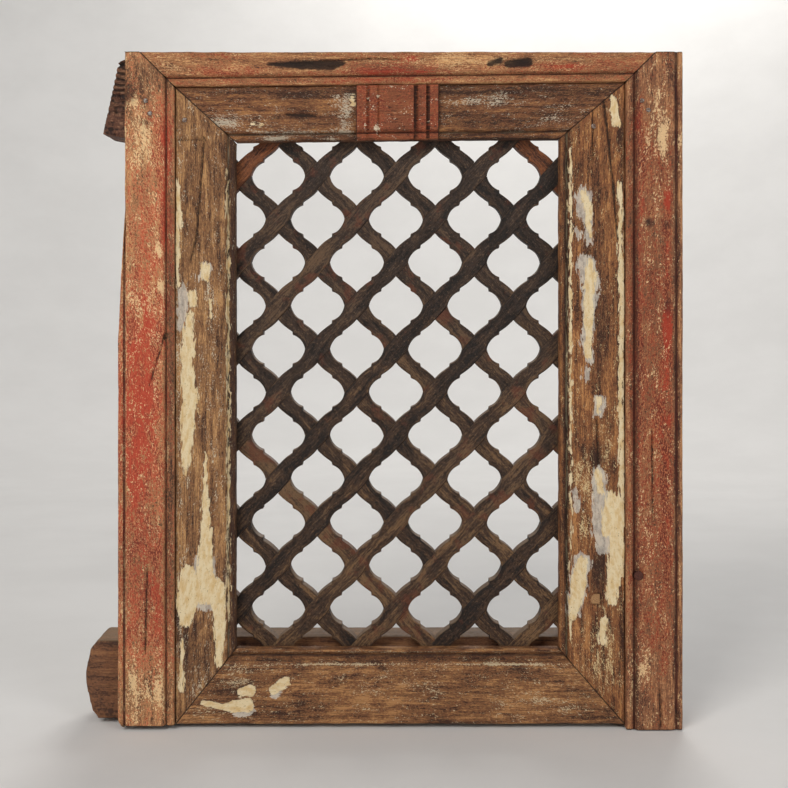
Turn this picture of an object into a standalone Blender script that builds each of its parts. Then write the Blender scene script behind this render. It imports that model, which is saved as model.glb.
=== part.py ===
"""A carved wooden window panel with a lattice (a jali) in a moulded frame.

Axes: X to the right, Z up, and the front of the panel faces -Y. The back of the
heavy frame lies in the plane Y = 0, and the origin is on that back face at the
middle of the head, where the panel is fixed to a wall.

From back to front: a mortised frame of head, sill and two jambs; the lattice of
cross-halved slats, held in rebates of the head and the sill; a mitred inner
frame that covers the edges of the lattice; and an outer casing of two stiles
and a top rail, with a planted block in the middle of the inner top rail.
"""

import math

import bmesh
import bpy
from mathutils import Vector

MM = 0.001

# The clear opening between the edges of the inner frame
OPENING_WIDTH = 435 * MM
OPENING_HEIGHT = 681 * MM
# The upper edge of the opening climbs this much from left to right
TOP_RISE = 5 * MM

# Face widths of the moulded boards in front
INNER_LEFT_WIDTH = 81 * MM
INNER_RIGHT_WIDTH = 88 * MM
INNER_TOP_WIDTH = 74 * MM
INNER_BOTTOM_WIDTH = 100 * MM
OUTER_TOP_WIDTH = 45.5 * MM
OUTER_RIGHT_WIDTH = 76 * MM
OUTER_LEFT_WIDTH = 75.5 * MM
# The right stile runs a little past the bottom rail
RIGHT_FOOT_DROP = 5 * MM

# The left stile has lost its outer edge in its upper half, and its foot is rounded
WORN_EDGE_DEPTH = 11 * MM
WORN_EDGE_START = 510 * MM
WORN_EDGE_FULL = 690 * MM
FOOT_ROUNDING = 10 * MM

# Thicknesses, from back to front
FRAME_DEPTH = 82 * MM
LATTICE_THICKNESS = 22 * MM
LATTICE_PLAY = 2 * MM
INNER_THICKNESS = 22 * MM
OUTER_THICKNESS = 32 * MM

# The heavy frame
HEAD_HEIGHT = 106 * MM
HEAD_ABOVE_OPENING = 12.5 * MM
SILL_HEIGHT = 107 * MM
SILL_UPSTAND = 7 * MM
JAMB_WIDTH = 100 * MM
JAMB_REVEAL = 14 * MM
BEAM_RIGHT_SETBACK = 6 * MM
REBATE_HEIGHT = 20 * MM
TENON_THICKNESS = 30 * MM
TENON_WIDTH = 60 * MM
TENON_LENGTH = 38 * MM
# How far the horns stand past the left stile
HEAD_HORN = 38 * MM
HEAD_HORN_TOP = 17 * MM
HEAD_HORN_WORN = 7 * MM
HEAD_HORN_SAG = 7 * MM
SILL_HORN = 50 * MM
SILL_HORN_CHAMFER = 17 * MM

# The lattice: the step from one crossing to the next, across and down
LATTICE_STEP_X = 53.5 * MM
LATTICE_STEP_Z = 59 * MM
LATTICE_CENTRE_X = -2 * MM
FIRST_CROSSING_DROP = 43 * MM
SLAT_WIDTH = 25 * MM
# Depths of the carving in a slat's edge
SHOULDER_DEPTH = 3.3 * MM
TOOTH_DEPTH = 1.0 * MM
HOLLOW_DEPTH = 3.7 * MM
PLAIN_SLAT_WAVE = 1.3 * MM

# The planted block
BLOCK_WIDTH = 111 * MM
BLOCK_PROUD = 6 * MM
HOUSING_DEPTH = 8 * MM
BLOCK_REED_WIDTH = 15 * MM
BLOCK_GROOVE = 2 * MM

# Mouldings
BEAD_WIDTH = 9 * MM
OUTER_BEAD_WIDTH = 10.5 * MM
QUIRK_WIDTH = 1.6 * MM
BEAD_SINKAGE = 3 * MM
QUIRK_DEPTH = 6 * MM
SOFTENED_EDGE = 6 * MM
COVE_LIP = 3.5 * MM
COVE_WIDTH = 11 * MM
COVE_DEPTH = 9 * MM
COVE_STEP = 8 * MM
OUTER_GROOVE_INSET = 8 * MM
OUTER_GROOVE_WIDTH = 3 * MM
OUTER_GROOVE_DEPTH = 4 * MM

# Fixings
NAIL_HEAD_RADIUS = 3.2 * MM
NAIL_HEAD_HEIGHT = 1.3 * MM
NAIL_SHANK_RADIUS = 1.6 * MM
NAIL_LENGTH = 45 * MM
NAIL_SIDES = 6
ROUND_PEG_RADIUS = 6.5 * MM
SQUARE_PEG_WIDTH = 14 * MM
PEG_LENGTH = 60 * MM
PEG_RECESS = 0.6 * MM
PEG_SIDES = 14
# Nails: side, board, distance out from the joint of the two boards, height as a share of the head's
NAILS = {
    "nail_left_casing_upper": (-1, "outer", 37.5 * MM, -0.11),
    "nail_left_casing_lower": (-1, "outer", 32 * MM, -0.27),
    "nail_left_lining": (-1, "inner", -13 * MM, -0.34),
    "nail_right_casing_upper": (1, "outer", 20.5 * MM, -0.11),
    "nail_right_casing_lower": (1, "outer", 29 * MM, -0.23),
    "nail_right_lining": (1, "inner", -43 * MM, -0.42),
}
# Pegs: distance out from the joint of the two boards, height over the foot of the inner stile
ROUND_PEG_PLACE = (16.5 * MM, 201 * MM)
SQUARE_PEG_PLACE = (-40.5 * MM, 168 * MM)

# Clearances
SEAT_GAP = 0.3 * MM
JOINT_GAP = 0.5 * MM

# Places worked out from the sizes above
OPENING_TOP = -HEAD_HEIGHT / 2 - HEAD_ABOVE_OPENING
OPENING_BOTTOM = OPENING_TOP - OPENING_HEIGHT
OPENING_SIDE = OPENING_WIDTH / 2
INNER_LEFT = -OPENING_SIDE - INNER_LEFT_WIDTH
INNER_RIGHT = OPENING_SIDE + INNER_RIGHT_WIDTH
INNER_TOP = OPENING_TOP + INNER_TOP_WIDTH
INNER_BOTTOM = OPENING_BOTTOM - INNER_BOTTOM_WIDTH
OUTER_TOP = INNER_TOP + OUTER_TOP_WIDTH
OUTER_RIGHT = INNER_RIGHT + OUTER_RIGHT_WIDTH
OUTER_LEFT = INNER_LEFT - OUTER_LEFT_WIDTH
OUTER_LEFT_AT_TOP = OUTER_LEFT + WORN_EDGE_DEPTH
HEAD_BOTTOM = -HEAD_HEIGHT / 2
SILL_TOP = OPENING_BOTTOM + SILL_UPSTAND
SILL_BOTTOM = SILL_TOP - SILL_HEIGHT
JAMB_FACE = OPENING_SIDE + JAMB_REVEAL
BEAM_FRONT = -FRAME_DEPTH
REBATE_BACK = BEAM_FRONT + LATTICE_THICKNESS + LATTICE_PLAY
LATTICE_BACK = REBATE_BACK - SEAT_GAP
LATTICE_FRONT = LATTICE_BACK - LATTICE_THICKNESS
LATTICE_MIDDLE = (LATTICE_BACK + LATTICE_FRONT) / 2
BOARD_BACK = BEAM_FRONT - SEAT_GAP
PAST = 20 * MM

FINISHES = {
    "red_paint": ((0.30, 0.085, 0.040), 0.75, 0.0),
    "worn_wood": ((0.26, 0.155, 0.080), 0.80, 0.0),
    "dark_wood": ((0.070, 0.048, 0.036), 0.70, 0.0),
    "new_wood": ((0.20, 0.070, 0.025), 0.65, 0.0),
    "beam_wood": ((0.110, 0.055, 0.033), 0.80, 0.0),
    "peg_wood": ((0.090, 0.035, 0.025), 0.70, 0.0),
    "iron": ((0.22, 0.21, 0.20), 0.55, 0.9),
}


def clear_scene():
    for thing in list(bpy.data.objects):
        bpy.data.objects.remove(thing, do_unlink=True)


def finish_material(name, finish):
    """A Principled material of its own for one object."""
    colour, roughness, metallic = FINISHES[finish]
    material = bpy.data.materials.new(name)
    material.use_nodes = True
    shader = material.node_tree.nodes["Principled BSDF"]
    shader.inputs["Base Color"].default_value = (*colour, 1.0)
    shader.inputs["Roughness"].default_value = roughness
    shader.inputs["Metallic"].default_value = metallic
    return material


def make_object(name, body, finish):
    """Turns a bmesh body into a named object with outward faces."""
    bmesh.ops.recalc_face_normals(body, faces=body.faces)
    mesh = bpy.data.meshes.new(name)
    body.to_mesh(mesh)
    body.free()
    thing = bpy.data.objects.new(name, mesh)
    bpy.context.scene.collection.objects.link(thing)
    mesh.materials.append(finish_material(name, finish))
    return thing


def make_cutter(name, body):
    """A hidden tool for a Boolean."""
    thing = make_object(name, body, "dark_wood")
    thing.hide_render = True
    thing.display_type = "WIRE"
    return thing


def combine(target, tool, operation):
    """Adds one Boolean to an object."""
    modifier = target.modifiers.new(tool.name, "BOOLEAN")
    modifier.operation = operation
    modifier.solver = "EXACT"
    modifier.object = tool


def shade_round(thing):
    """Smooth shading with the true corners kept sharp."""
    thing.data.shade_smooth()
    thing.data.set_sharp_from_angle(angle=math.radians(40))


def add_prism(body, outline, y_front, y_back):
    """Adds an outline of (x, z) points, extruded along Y, to a bmesh."""
    corners = [body.verts.new((x, y_front, z)) for x, z in outline]
    face = body.faces.new(corners)
    pushed = bmesh.ops.extrude_face_region(body, geom=[face])
    moved = [item for item in pushed["geom"] if isinstance(item, bmesh.types.BMVert)]
    bmesh.ops.translate(body, verts=moved, vec=(0, y_back - y_front, 0))


def prism(outline, y_front, y_back):
    body = bmesh.new()
    add_prism(body, outline, y_front, y_back)
    return body


def rectangle(x_low, x_high, z_low, z_high):
    return [(x_low, z_low), (x_high, z_low), (x_high, z_high), (x_low, z_high)]


def square(x, z, half):
    return rectangle(x - half, x + half, z - half, z + half)


def turned_along_y(profile, sides, x, z):
    """A body turned about an axis along Y. The profile is (radius, y) from one pole to the other."""
    body = bmesh.new()
    points = [body.verts.new((radius, y, 0)) for radius, y in profile]
    edges = [body.edges.new(pair) for pair in zip(points, points[1:])]
    bmesh.ops.spin(
        body,
        geom=points + edges,
        cent=(0, 0, 0),
        axis=(0, 1, 0),
        angle=math.tau,
        steps=sides,
    )
    bmesh.ops.remove_doubles(body, verts=body.verts, dist=0.01 * MM)
    bmesh.ops.translate(body, verts=body.verts, vec=(x, 0, z))
    return body


def rod_along_y(radius, y_front, y_back, sides, x, z):
    return turned_along_y([(0, y_front), (radius, y_front), (radius, y_back), (0, y_back)], sides, x, z)


def saw(body, point, keep_towards):
    """Cuts a body along a line of the front view, keeps the side that a direction points to, and caps the cut."""
    result = bmesh.ops.bisect_plane(
        body,
        geom=body.verts[:] + body.edges[:] + body.faces[:],
        plane_co=Vector((point[0], 0, point[1])),
        plane_no=Vector((keep_towards[0], 0, keep_towards[1])),
        clear_inner=True,
        dist=0.001 * MM,
    )
    rim = [item for item in result["geom_cut"] if isinstance(item, bmesh.types.BMEdge)]
    bmesh.ops.holes_fill(body, edges=rim)


def mitre(body, inner_corner, outer_corner, keep_near):
    """Saws along the line between two corners, half a joint gap towards the side that holds keep_near."""
    start, end = Vector(inner_corner), Vector(outer_corner)
    along = (end - start).normalized()
    across = Vector((-along.y, along.x))
    if across.dot(Vector(keep_near) - start) < 0:
        across = -across
    saw(body, start + across * JOINT_GAP / 2, across)


def moulded_board(stations, profile):
    """A board with the same moulding along its whole length.

    Each station is a pair of (x, z) points, on the inner and the outer edge. The
    profile is a list of (edge, offset, rise): the distance in from that edge, and
    the height over the board's back.
    """
    body = bmesh.new()
    rings = []
    run = (Vector(stations[-1][0]) - Vector(stations[0][0])).normalized()
    square = Vector((-run.y, run.x))
    for inner, outer in stations:
        across = Vector(outer) - Vector(inner)
        width = abs(across.dot(square))
        ring = []
        for edge, offset, rise in profile:
            share = offset / width if edge == "inner" else 1 - offset / width
            spot = Vector(inner) + across * share
            ring.append(body.verts.new((spot.x, BOARD_BACK - rise, spot.y)))
        rings.append(ring)
    body.faces.new(rings[0])
    body.faces.new(rings[-1])
    count = len(profile)
    for ring, following in zip(rings, rings[1:]):
        for i in range(count):
            j = (i + 1) % count
            body.faces.new((ring[i], ring[j], following[j], following[i]))
    return body


def bead(width, top):
    """The rounded bead on a board's inner edge and the quirk behind it."""
    crown = top - BEAD_SINKAGE
    floor = top - QUIRK_DEPTH
    return [
        ("inner", 0, 0),
        ("inner", 0, floor),
        ("inner", width * 0.12, (floor + 2 * crown) / 3),
        ("inner", width * 0.5, crown),
        ("inner", width * 0.88, (floor + 2 * crown) / 3),
        ("inner", width, floor),
        ("inner", width + QUIRK_WIDTH, floor),
        ("inner", width + QUIRK_WIDTH + SOFTENED_EDGE * 0.15, top - SOFTENED_EDGE * 0.15),
        ("inner", width + QUIRK_WIDTH + SOFTENED_EDGE, top),
    ]


def inner_profile(top=INNER_THICKNESS):
    return bead(BEAD_WIDTH, top) + [("outer", 0, top), ("outer", 0, 0)]


def inner_bottom_profile():
    """A lip, a cove below it and a low step up to the face of the board."""
    top = INNER_THICKNESS
    lip = top - BEAD_SINKAGE
    step = top - BEAD_SINKAGE / 2
    points = [("inner", 0, 0), ("inner", 0, lip), ("inner", COVE_LIP, lip)]
    for share in (0.15, 0.5, 0.85):
        fall = COVE_DEPTH - BEAD_SINKAGE
        points.append(("inner", COVE_LIP + COVE_WIDTH * share, lip - fall * math.sin(math.pi * share)))
    end = COVE_LIP + COVE_WIDTH
    return points + [
        ("inner", end, step),
        ("inner", end + COVE_STEP / 2, step),
        ("inner", end + COVE_STEP, top),
        ("outer", 0, top),
        ("outer", 0, 0),
    ]


def outer_rail_profile():
    top = OUTER_THICKNESS
    soft = SOFTENED_EDGE * 0.4
    return bead(OUTER_BEAD_WIDTH, top) + [
        ("outer", soft, top),
        ("outer", 0, top - soft),
        ("outer", 0, 0),
    ]


def outer_stile_profile():
    top = OUTER_THICKNESS
    soft = SOFTENED_EDGE * 0.25
    groove = OUTER_GROOVE_INSET + OUTER_GROOVE_WIDTH
    floor = top - OUTER_GROOVE_DEPTH
    return bead(OUTER_BEAD_WIDTH, top) + [
        ("outer", groove + SOFTENED_EDGE, top),
        ("outer", groove, top - soft * 0.7),
        ("outer", groove - OUTER_GROOVE_WIDTH * 0.3, floor),
        ("outer", OUTER_GROOVE_INSET, floor),
        ("outer", OUTER_GROOVE_INSET - OUTER_GROOVE_WIDTH * 0.3, top - soft),
        ("outer", soft, top - soft),
        ("outer", 0, top - soft * 2),
        ("outer", 0, 0),
    ]


def rise_at(x):
    """How far the slanting upper edges have climbed at x, from none at the left of the opening."""
    return TOP_RISE * (x + OPENING_SIDE) / OPENING_WIDTH


def opening_corner(side, up):
    """A corner of the inner frame's opening: side -1 or 1, up True or False."""
    x = side * OPENING_SIDE
    return (x, OPENING_TOP + rise_at(x)) if up else (x, OPENING_BOTTOM)


def joint_x(side):
    """Where the inner frame meets the outer casing, at the left or the right."""
    return INNER_RIGHT if side > 0 else INNER_LEFT


def frame_corner(side, up):
    """A corner where the inner frame meets the outer casing."""
    x = joint_x(side)
    return (x, INNER_TOP + rise_at(x)) if up else (x, INNER_BOTTOM)


def make_inner_stile(name, side):
    """An inner stile, mitred at both ends and a joint gap short of the outer casing."""
    edge = joint_x(side) - side * JOINT_GAP
    low, high = INNER_BOTTOM - PAST, INNER_TOP + 2 * TOP_RISE + PAST
    stations = [((side * OPENING_SIDE, z), (edge, z)) for z in (low, high)]
    body = moulded_board(stations, inner_profile())
    middle = (edge, (OPENING_TOP + OPENING_BOTTOM) / 2)
    for up in (True, False):
        mitre(body, opening_corner(side, up), frame_corner(side, up), middle)
    saw(body, (0, INNER_BOTTOM), (0, 1))
    return make_object(name, body, "worn_wood")


def make_inner_top():
    """The inner top rail, which climbs to the right with the opening."""
    stations = []
    for x in (INNER_LEFT - PAST, INNER_RIGHT + PAST):
        climb = rise_at(x)
        stations.append(((x, OPENING_TOP + climb), (x, INNER_TOP + climb - JOINT_GAP)))
    body = moulded_board(stations, inner_profile())
    for side in (-1, 1):
        mitre(body, opening_corner(side, True), frame_corner(side, True), (0, INNER_TOP))
    rail = make_object("inner_top_rail", body, "worn_wood")
    half = BLOCK_WIDTH / 2 + SEAT_GAP
    floor = BOARD_BACK - INNER_THICKNESS + HOUSING_DEPTH
    housing = prism(
        rectangle(-half, half, OPENING_TOP - PAST, INNER_TOP + TOP_RISE + PAST),
        floor - INNER_THICKNESS,
        floor,
    )
    combine(rail, make_cutter("cut_block_housing", housing), "DIFFERENCE")


def make_inner_bottom():
    stations = [
        ((x, OPENING_BOTTOM), (x, INNER_BOTTOM)) for x in (INNER_LEFT - PAST, INNER_RIGHT + PAST)
    ]
    body = moulded_board(stations, inner_bottom_profile())
    for side in (-1, 1):
        mitre(body, opening_corner(side, False), frame_corner(side, False), (0, INNER_BOTTOM))
        saw(body, (joint_x(side) - side * JOINT_GAP, 0), (-side, 0))
    make_object("inner_bottom_rail", body, "worn_wood")


def make_block():
    """The planted block, housed in the top rail, with a pair of reeds at each side."""
    half = BLOCK_WIDTH / 2
    stations = [
        ((x, OPENING_TOP + rise_at(x)), (x, INNER_TOP + rise_at(x) - JOINT_GAP))
        for x in (-half, half)
    ]
    back = INNER_THICKNESS - HOUSING_DEPTH + SEAT_GAP
    front = INNER_THICKNESS + BLOCK_PROUD
    profile = [(edge, offset, max(rise, back)) for edge, offset, rise in inner_profile(front)]
    block = make_object("centre_block", moulded_board(stations, profile), "red_paint")
    grooves = bmesh.new()
    for side in (-1, 1):
        for reed in (1, 2):
            x = side * (half - reed * BLOCK_REED_WIDTH)
            add_prism(
                grooves,
                rectangle(
                    x - BLOCK_GROOVE / 2,
                    x + BLOCK_GROOVE / 2,
                    OPENING_TOP - PAST,
                    INNER_TOP + TOP_RISE + PAST,
                ),
                BOARD_BACK - front - PAST,
                BOARD_BACK - front + QUIRK_DEPTH * 0.5,
            )
    combine(block, make_cutter("cut_block_grooves", grooves), "DIFFERENCE")


def casing_mitre_end(side):
    """Where the mitre between a stile and the top rail meets the top edge."""
    corner = frame_corner(side, True)
    return (corner[0] + side * (OUTER_TOP - corner[1]), OUTER_TOP)


def outer_stile_body(side, edge, foot):
    """A stile of the casing, mitred to the top rail, from its foot to the top."""
    stations = [((joint_x(side), z), (edge, z)) for z in (foot, OUTER_TOP)]
    body = moulded_board(stations, outer_stile_profile())
    mitre(body, frame_corner(side, True), casing_mitre_end(side), (edge, OPENING_BOTTOM))
    return body


def make_outer_right():
    body = outer_stile_body(1, OUTER_RIGHT, INNER_BOTTOM - RIGHT_FOOT_DROP)
    make_object("outer_right_stile", body, "red_paint")


def make_outer_left():
    """The left stile, with a rounded foot, and its outer edge worn away above."""
    body = outer_stile_body(-1, OUTER_LEFT, INNER_BOTTOM)
    centre = Vector((OUTER_LEFT + FOOT_ROUNDING, INNER_BOTTOM + FOOT_ROUNDING))
    for degrees in (200, 225, 250):
        outward = Vector((math.cos(math.radians(degrees)), math.sin(math.radians(degrees))))
        saw(body, centre + outward * FOOT_ROUNDING, -outward)
    stile = make_object("outer_left_stile", body, "red_paint")
    lost = [
        (OUTER_LEFT - PAST, INNER_BOTTOM + WORN_EDGE_START),
        (OUTER_LEFT, INNER_BOTTOM + WORN_EDGE_START),
        (OUTER_LEFT_AT_TOP, INNER_BOTTOM + WORN_EDGE_FULL),
        (OUTER_LEFT_AT_TOP, OUTER_TOP + PAST),
        (OUTER_LEFT - PAST, OUTER_TOP + PAST),
    ]
    cutter = prism(lost, BOARD_BACK - OUTER_THICKNESS - PAST, BOARD_BACK + PAST)
    combine(stile, make_cutter("cut_worn_edge", cutter), "DIFFERENCE")


def make_outer_top():
    stations = []
    reach = OUTER_TOP_WIDTH + PAST
    for x in (INNER_LEFT - reach, INNER_RIGHT + reach):
        stations.append(((x, INNER_TOP + rise_at(x)), (x, OUTER_TOP)))
    body = moulded_board(stations, outer_rail_profile())
    for side in (-1, 1):
        mitre(body, frame_corner(side, True), casing_mitre_end(side), (0, OUTER_TOP))
    make_object("outer_top_rail", body, "red_paint")


def beam_right_end():
    return OUTER_RIGHT - BEAM_RIGHT_SETBACK


def make_head():
    """The head of the heavy frame, with a worn horn past the left stile."""
    tip = OUTER_LEFT_AT_TOP - HEAD_HORN
    tip_top = OUTER_LEFT_AT_TOP - HEAD_HORN_TOP
    high, low = HEAD_HEIGHT / 2, HEAD_BOTTOM
    outline = [
        (beam_right_end(), low),
        (beam_right_end(), high),
        (OUTER_LEFT_AT_TOP, high),
        (tip_top, high - HEAD_HORN_WORN),
        (tip, low),
        (OUTER_LEFT_AT_TOP, low - HEAD_HORN_SAG),
        (-JAMB_FACE - JAMB_WIDTH, low),
    ]
    return make_object("head_beam", prism(outline, BEAM_FRONT, 0), "beam_wood")


def make_sill():
    """The sill of the heavy frame, with a rounded horn past the left stile."""
    tip = OUTER_LEFT - SILL_HORN
    cut = SILL_HORN_CHAMFER
    outline = [
        (beam_right_end(), SILL_BOTTOM),
        (beam_right_end(), SILL_TOP),
        (tip + cut, SILL_TOP),
        (tip + cut * 0.4, SILL_TOP - cut * 0.6),
        (tip, SILL_TOP - SILL_HEIGHT * 0.4),
        (tip, SILL_TOP - SILL_HEIGHT * 0.55),
        (tip + cut * 0.5, SILL_BOTTOM + cut * 0.7),
        (tip + cut, SILL_BOTTOM),
    ]
    return make_object("sill_beam", prism(outline, BEAM_FRONT, 0), "beam_wood")


def make_jamb(name, side):
    """A jamb with a tenon at each end."""
    near, far = side * JAMB_FACE, side * (JAMB_FACE + JAMB_WIDTH)
    low, high = SILL_TOP + SEAT_GAP, HEAD_BOTTOM - SEAT_GAP
    body = prism(rectangle(min(near, far), max(near, far), low, high), BEAM_FRONT, 0)
    jamb = make_object(name, body, "beam_wood")
    middle = (near + far) / 2
    tenon = prism(
        rectangle(
            middle - TENON_WIDTH / 2,
            middle + TENON_WIDTH / 2,
            low - TENON_LENGTH,
            high + TENON_LENGTH,
        ),
        BEAM_FRONT / 2 - TENON_THICKNESS / 2,
        BEAM_FRONT / 2 + TENON_THICKNESS / 2,
    )
    combine(jamb, make_cutter("add_tenons_" + name, tenon), "UNION")
    return jamb


def cut_mortises(beam, face, into):
    """Cuts the two mortises of a beam. face is the height of the jambs' shoulder, into 1 or -1 the way in."""
    pockets = bmesh.new()
    deep = face + into * (TENON_LENGTH + 2 * SEAT_GAP)
    mouth = face - into * PAST
    for side in (-1, 1):
        middle = side * (JAMB_FACE + JAMB_WIDTH / 2)
        half = TENON_WIDTH / 2 + SEAT_GAP
        add_prism(
            pockets,
            rectangle(middle - half, middle + half, min(deep, mouth), max(deep, mouth)),
            BEAM_FRONT / 2 - TENON_THICKNESS / 2 - SEAT_GAP,
            BEAM_FRONT / 2 + TENON_THICKNESS / 2 + SEAT_GAP,
        )
    combine(beam, make_cutter("cut_mortises_" + beam.name, pockets), "DIFFERENCE")


def cut_rebate(beam, face, into):
    """Cuts the rebate that holds the lattice along the front arris of a beam."""
    deep = face + into * REBATE_HEIGHT
    mouth = face - into * PAST
    body = prism(
        rectangle(-JAMB_FACE, JAMB_FACE, min(deep, mouth), max(deep, mouth)),
        BEAM_FRONT - PAST,
        REBATE_BACK,
    )
    combine(beam, make_cutter("cut_rebate_" + beam.name, body), "DIFFERENCE")


def lattice_box():
    """The lattice's own outline: low x, high x, low z, high z."""
    reach = JAMB_FACE - SEAT_GAP
    low = SILL_TOP - REBATE_HEIGHT + SEAT_GAP
    high = HEAD_BOTTOM + REBATE_HEIGHT - SEAT_GAP
    return -reach, reach, low, high


def crossing(column, row):
    """The centre of a crossing. Crossings are where column + row is even."""
    x = LATTICE_CENTRE_X + column * LATTICE_STEP_X
    return Vector((x, OPENING_TOP - FIRST_CROSSING_DROP - row * LATTICE_STEP_Z))


def carved_edge(step, reach_start, reach_end):
    """One edge of a slat from one crossing to the next, as (distance, depth of cut) pairs.

    It leaves the first crossing as a rounded shoulder, comes out again in a small
    tooth halfway, and is hollowed from there to the second crossing.
    """
    free = step - reach_start - reach_end
    shoulder_end, tooth = 0.475, 0.54
    points = [(0.1, 0), (shoulder_end, SHOULDER_DEPTH), (tooth, TOOTH_DEPTH)]
    for share in (0.24, 0.52, 0.82):
        along = tooth + (1 - tooth) * share
        cut = TOOTH_DEPTH * (1 - share) + HOLLOW_DEPTH * math.sin(math.pi * share) ** 0.7
        points.append((along, cut))
    points.append((1.0, 0))
    return [(reach_start + free * along, depth) for along, depth in points]


def plain_edge(step, reach_start, reach_end):
    """The edge of a plain replacement slat: one shallow wave."""
    free = step - reach_start - reach_end
    return [
        (reach_start + free * share, PLAIN_SLAT_WAVE * math.sin(math.pi * share))
        for share in (0.0, 0.3, 0.7, 1.0)
    ]


def slat_outline(first, last, step_vector, lean, edge):
    """The outline of a slat that runs from one crossing to another.

    lean is 1 for a slat that climbs to the right and -1 for one that falls. The
    two edges are the same carving, turned end for end.
    """
    step = step_vector.length
    along = step_vector / step
    across = Vector((-along.y, along.x)) * lean
    half = SLAT_WIDTH / 2
    # where the other slat's edges cross this one's, either side of a crossing
    far_reach = half * LATTICE_STEP_Z / LATTICE_STEP_X
    near_reach = half * LATTICE_STEP_X / LATTICE_STEP_Z
    count = round((last - first).length / step)
    upper, lower = [], []
    for i in range(count):
        for distance, depth in edge(step, far_reach, near_reach):
            upper.append(first + along * (i * step + distance) + across * (half - depth))
            lower.append(last - along * (i * step + distance) - across * (half - depth))
    return [(spot.x, spot.y) for spot in upper + lower]


def lap_cutter(centres, other_step, y_front, y_back):
    """Boxes that cut one slat's half of each crossing, a seat gap wider than the other slat."""
    body = bmesh.new()
    along = other_step.normalized()
    across = Vector((-along.y, along.x)) * (SLAT_WIDTH / 2 + SEAT_GAP)
    along = along * SLAT_WIDTH * 1.3
    for centre in centres:
        corners = [
            centre - along - across,
            centre + along - across,
            centre + along + across,
            centre - along + across,
        ]
        add_prism(body, [(spot.x, spot.y) for spot in corners], y_front, y_back)
    return body


def make_slat(name, lean, line, is_plain):
    """A slat of the lattice. line is column + row for a climbing slat, column - row for a falling one."""
    low_x, high_x, low_z, high_z = lattice_box()
    climbing = Vector((LATTICE_STEP_X, LATTICE_STEP_Z))
    falling = Vector((-LATTICE_STEP_X, LATTICE_STEP_Z))
    own, other = (climbing, falling) if lean > 0 else (falling, climbing)
    first_row, last_row = lattice_rows()
    rows = range(last_row, first_row - 1, -1)
    centres = [crossing(line - row if lean > 0 else line + row, row) for row in rows]
    reach = LATTICE_STEP_X * 2
    near = [spot for spot in centres if low_x - reach < spot.x < high_x + reach]
    if len(near) < 2:
        return
    edge = plain_edge if is_plain else carved_edge
    outline = slat_outline(near[0], near[-1], own, lean, edge)
    body = prism(outline, LATTICE_FRONT, LATTICE_BACK)
    saw(body, (low_x, 0), (1, 0))
    saw(body, (high_x, 0), (-1, 0))
    saw(body, (0, low_z), (0, 1))
    saw(body, (0, high_z), (0, -1))
    slat = make_object(name, body, "new_wood" if is_plain else "dark_wood")
    if lean > 0:
        cutter = lap_cutter(near, other, LATTICE_MIDDLE - SEAT_GAP / 2, LATTICE_BACK + PAST)
    else:
        cutter = lap_cutter(near, other, LATTICE_FRONT - PAST, LATTICE_MIDDLE + SEAT_GAP / 2)
    combine(slat, make_cutter("cut_laps_" + name, cutter), "DIFFERENCE")


def lattice_rows():
    """The rows of crossings just outside the lattice, above and below it."""
    low_z, high_z = lattice_box()[2:]
    start = crossing(0, 0).y
    first = math.floor((start - high_z) / LATTICE_STEP_Z) - 1
    last = math.ceil((start - low_z) / LATTICE_STEP_Z) + 1
    return first, last


def slat_lines(lean):
    """The lines of slats that have a useful length inside the lattice's outline."""
    low_x, high_x, low_z, high_z = lattice_box()
    start = crossing(0, 0)
    corner_low = (low_x - start.x) / LATTICE_STEP_X
    corner_high = (high_x - start.x) / LATTICE_STEP_X
    row_high = (start.y - high_z) / LATTICE_STEP_Z
    row_low = (start.y - low_z) / LATTICE_STEP_Z
    if lean > 0:
        least, most = corner_low + row_high, corner_high + row_low
    else:
        least, most = corner_low - row_low, corner_high - row_high
    spare = 2 * SLAT_WIDTH / LATTICE_STEP_X
    lines = range(math.ceil(least + spare / 2), math.floor(most - spare / 2) + 1)
    return [line for line in lines if line % 2 == 0]


def make_lattice():
    """All the slats. The shortest one in each upper corner is a plain replacement."""
    climbing, falling = slat_lines(1), slat_lines(-1)
    for number, line in enumerate(climbing, start=1):
        make_slat(f"slat_climbing_{number:02d}", 1, line, line == climbing[0])
    for number, line in enumerate(reversed(falling), start=1):
        make_slat(f"slat_falling_{number:02d}", -1, line, line == falling[-1])


def make_nails(head):
    """Wrought nails with low domed heads, and their holes in the boards and the head."""
    for name, (side, board, outward, height) in NAILS.items():
        x, z = joint_x(side) + side * outward, HEAD_HEIGHT * height
        rise = OUTER_THICKNESS if board == "outer" else INNER_THICKNESS
        face = BOARD_BACK - rise - SEAT_GAP
        point = face + NAIL_LENGTH
        profile = [
            (0, face - NAIL_HEAD_HEIGHT),
            (NAIL_HEAD_RADIUS * 0.7, face - NAIL_HEAD_HEIGHT * 0.75),
            (NAIL_HEAD_RADIUS, face),
            (NAIL_SHANK_RADIUS, face),
            (NAIL_SHANK_RADIUS * 0.8, point - NAIL_SHANK_RADIUS * 3),
            (0, point),
        ]
        shade_round(make_object(name, turned_along_y(profile, NAIL_SIDES, x, z), "iron"))
        hole = rod_along_y(
            NAIL_SHANK_RADIUS + SEAT_GAP, face - PAST, point + SEAT_GAP, NAIL_SIDES, x, z
        )
        cutter = make_cutter("cut_" + name, hole)
        stile = f"{board}_{'left' if side < 0 else 'right'}_stile"
        combine(bpy.data.objects[stile], cutter, "DIFFERENCE")
        combine(head, cutter, "DIFFERENCE")


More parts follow.
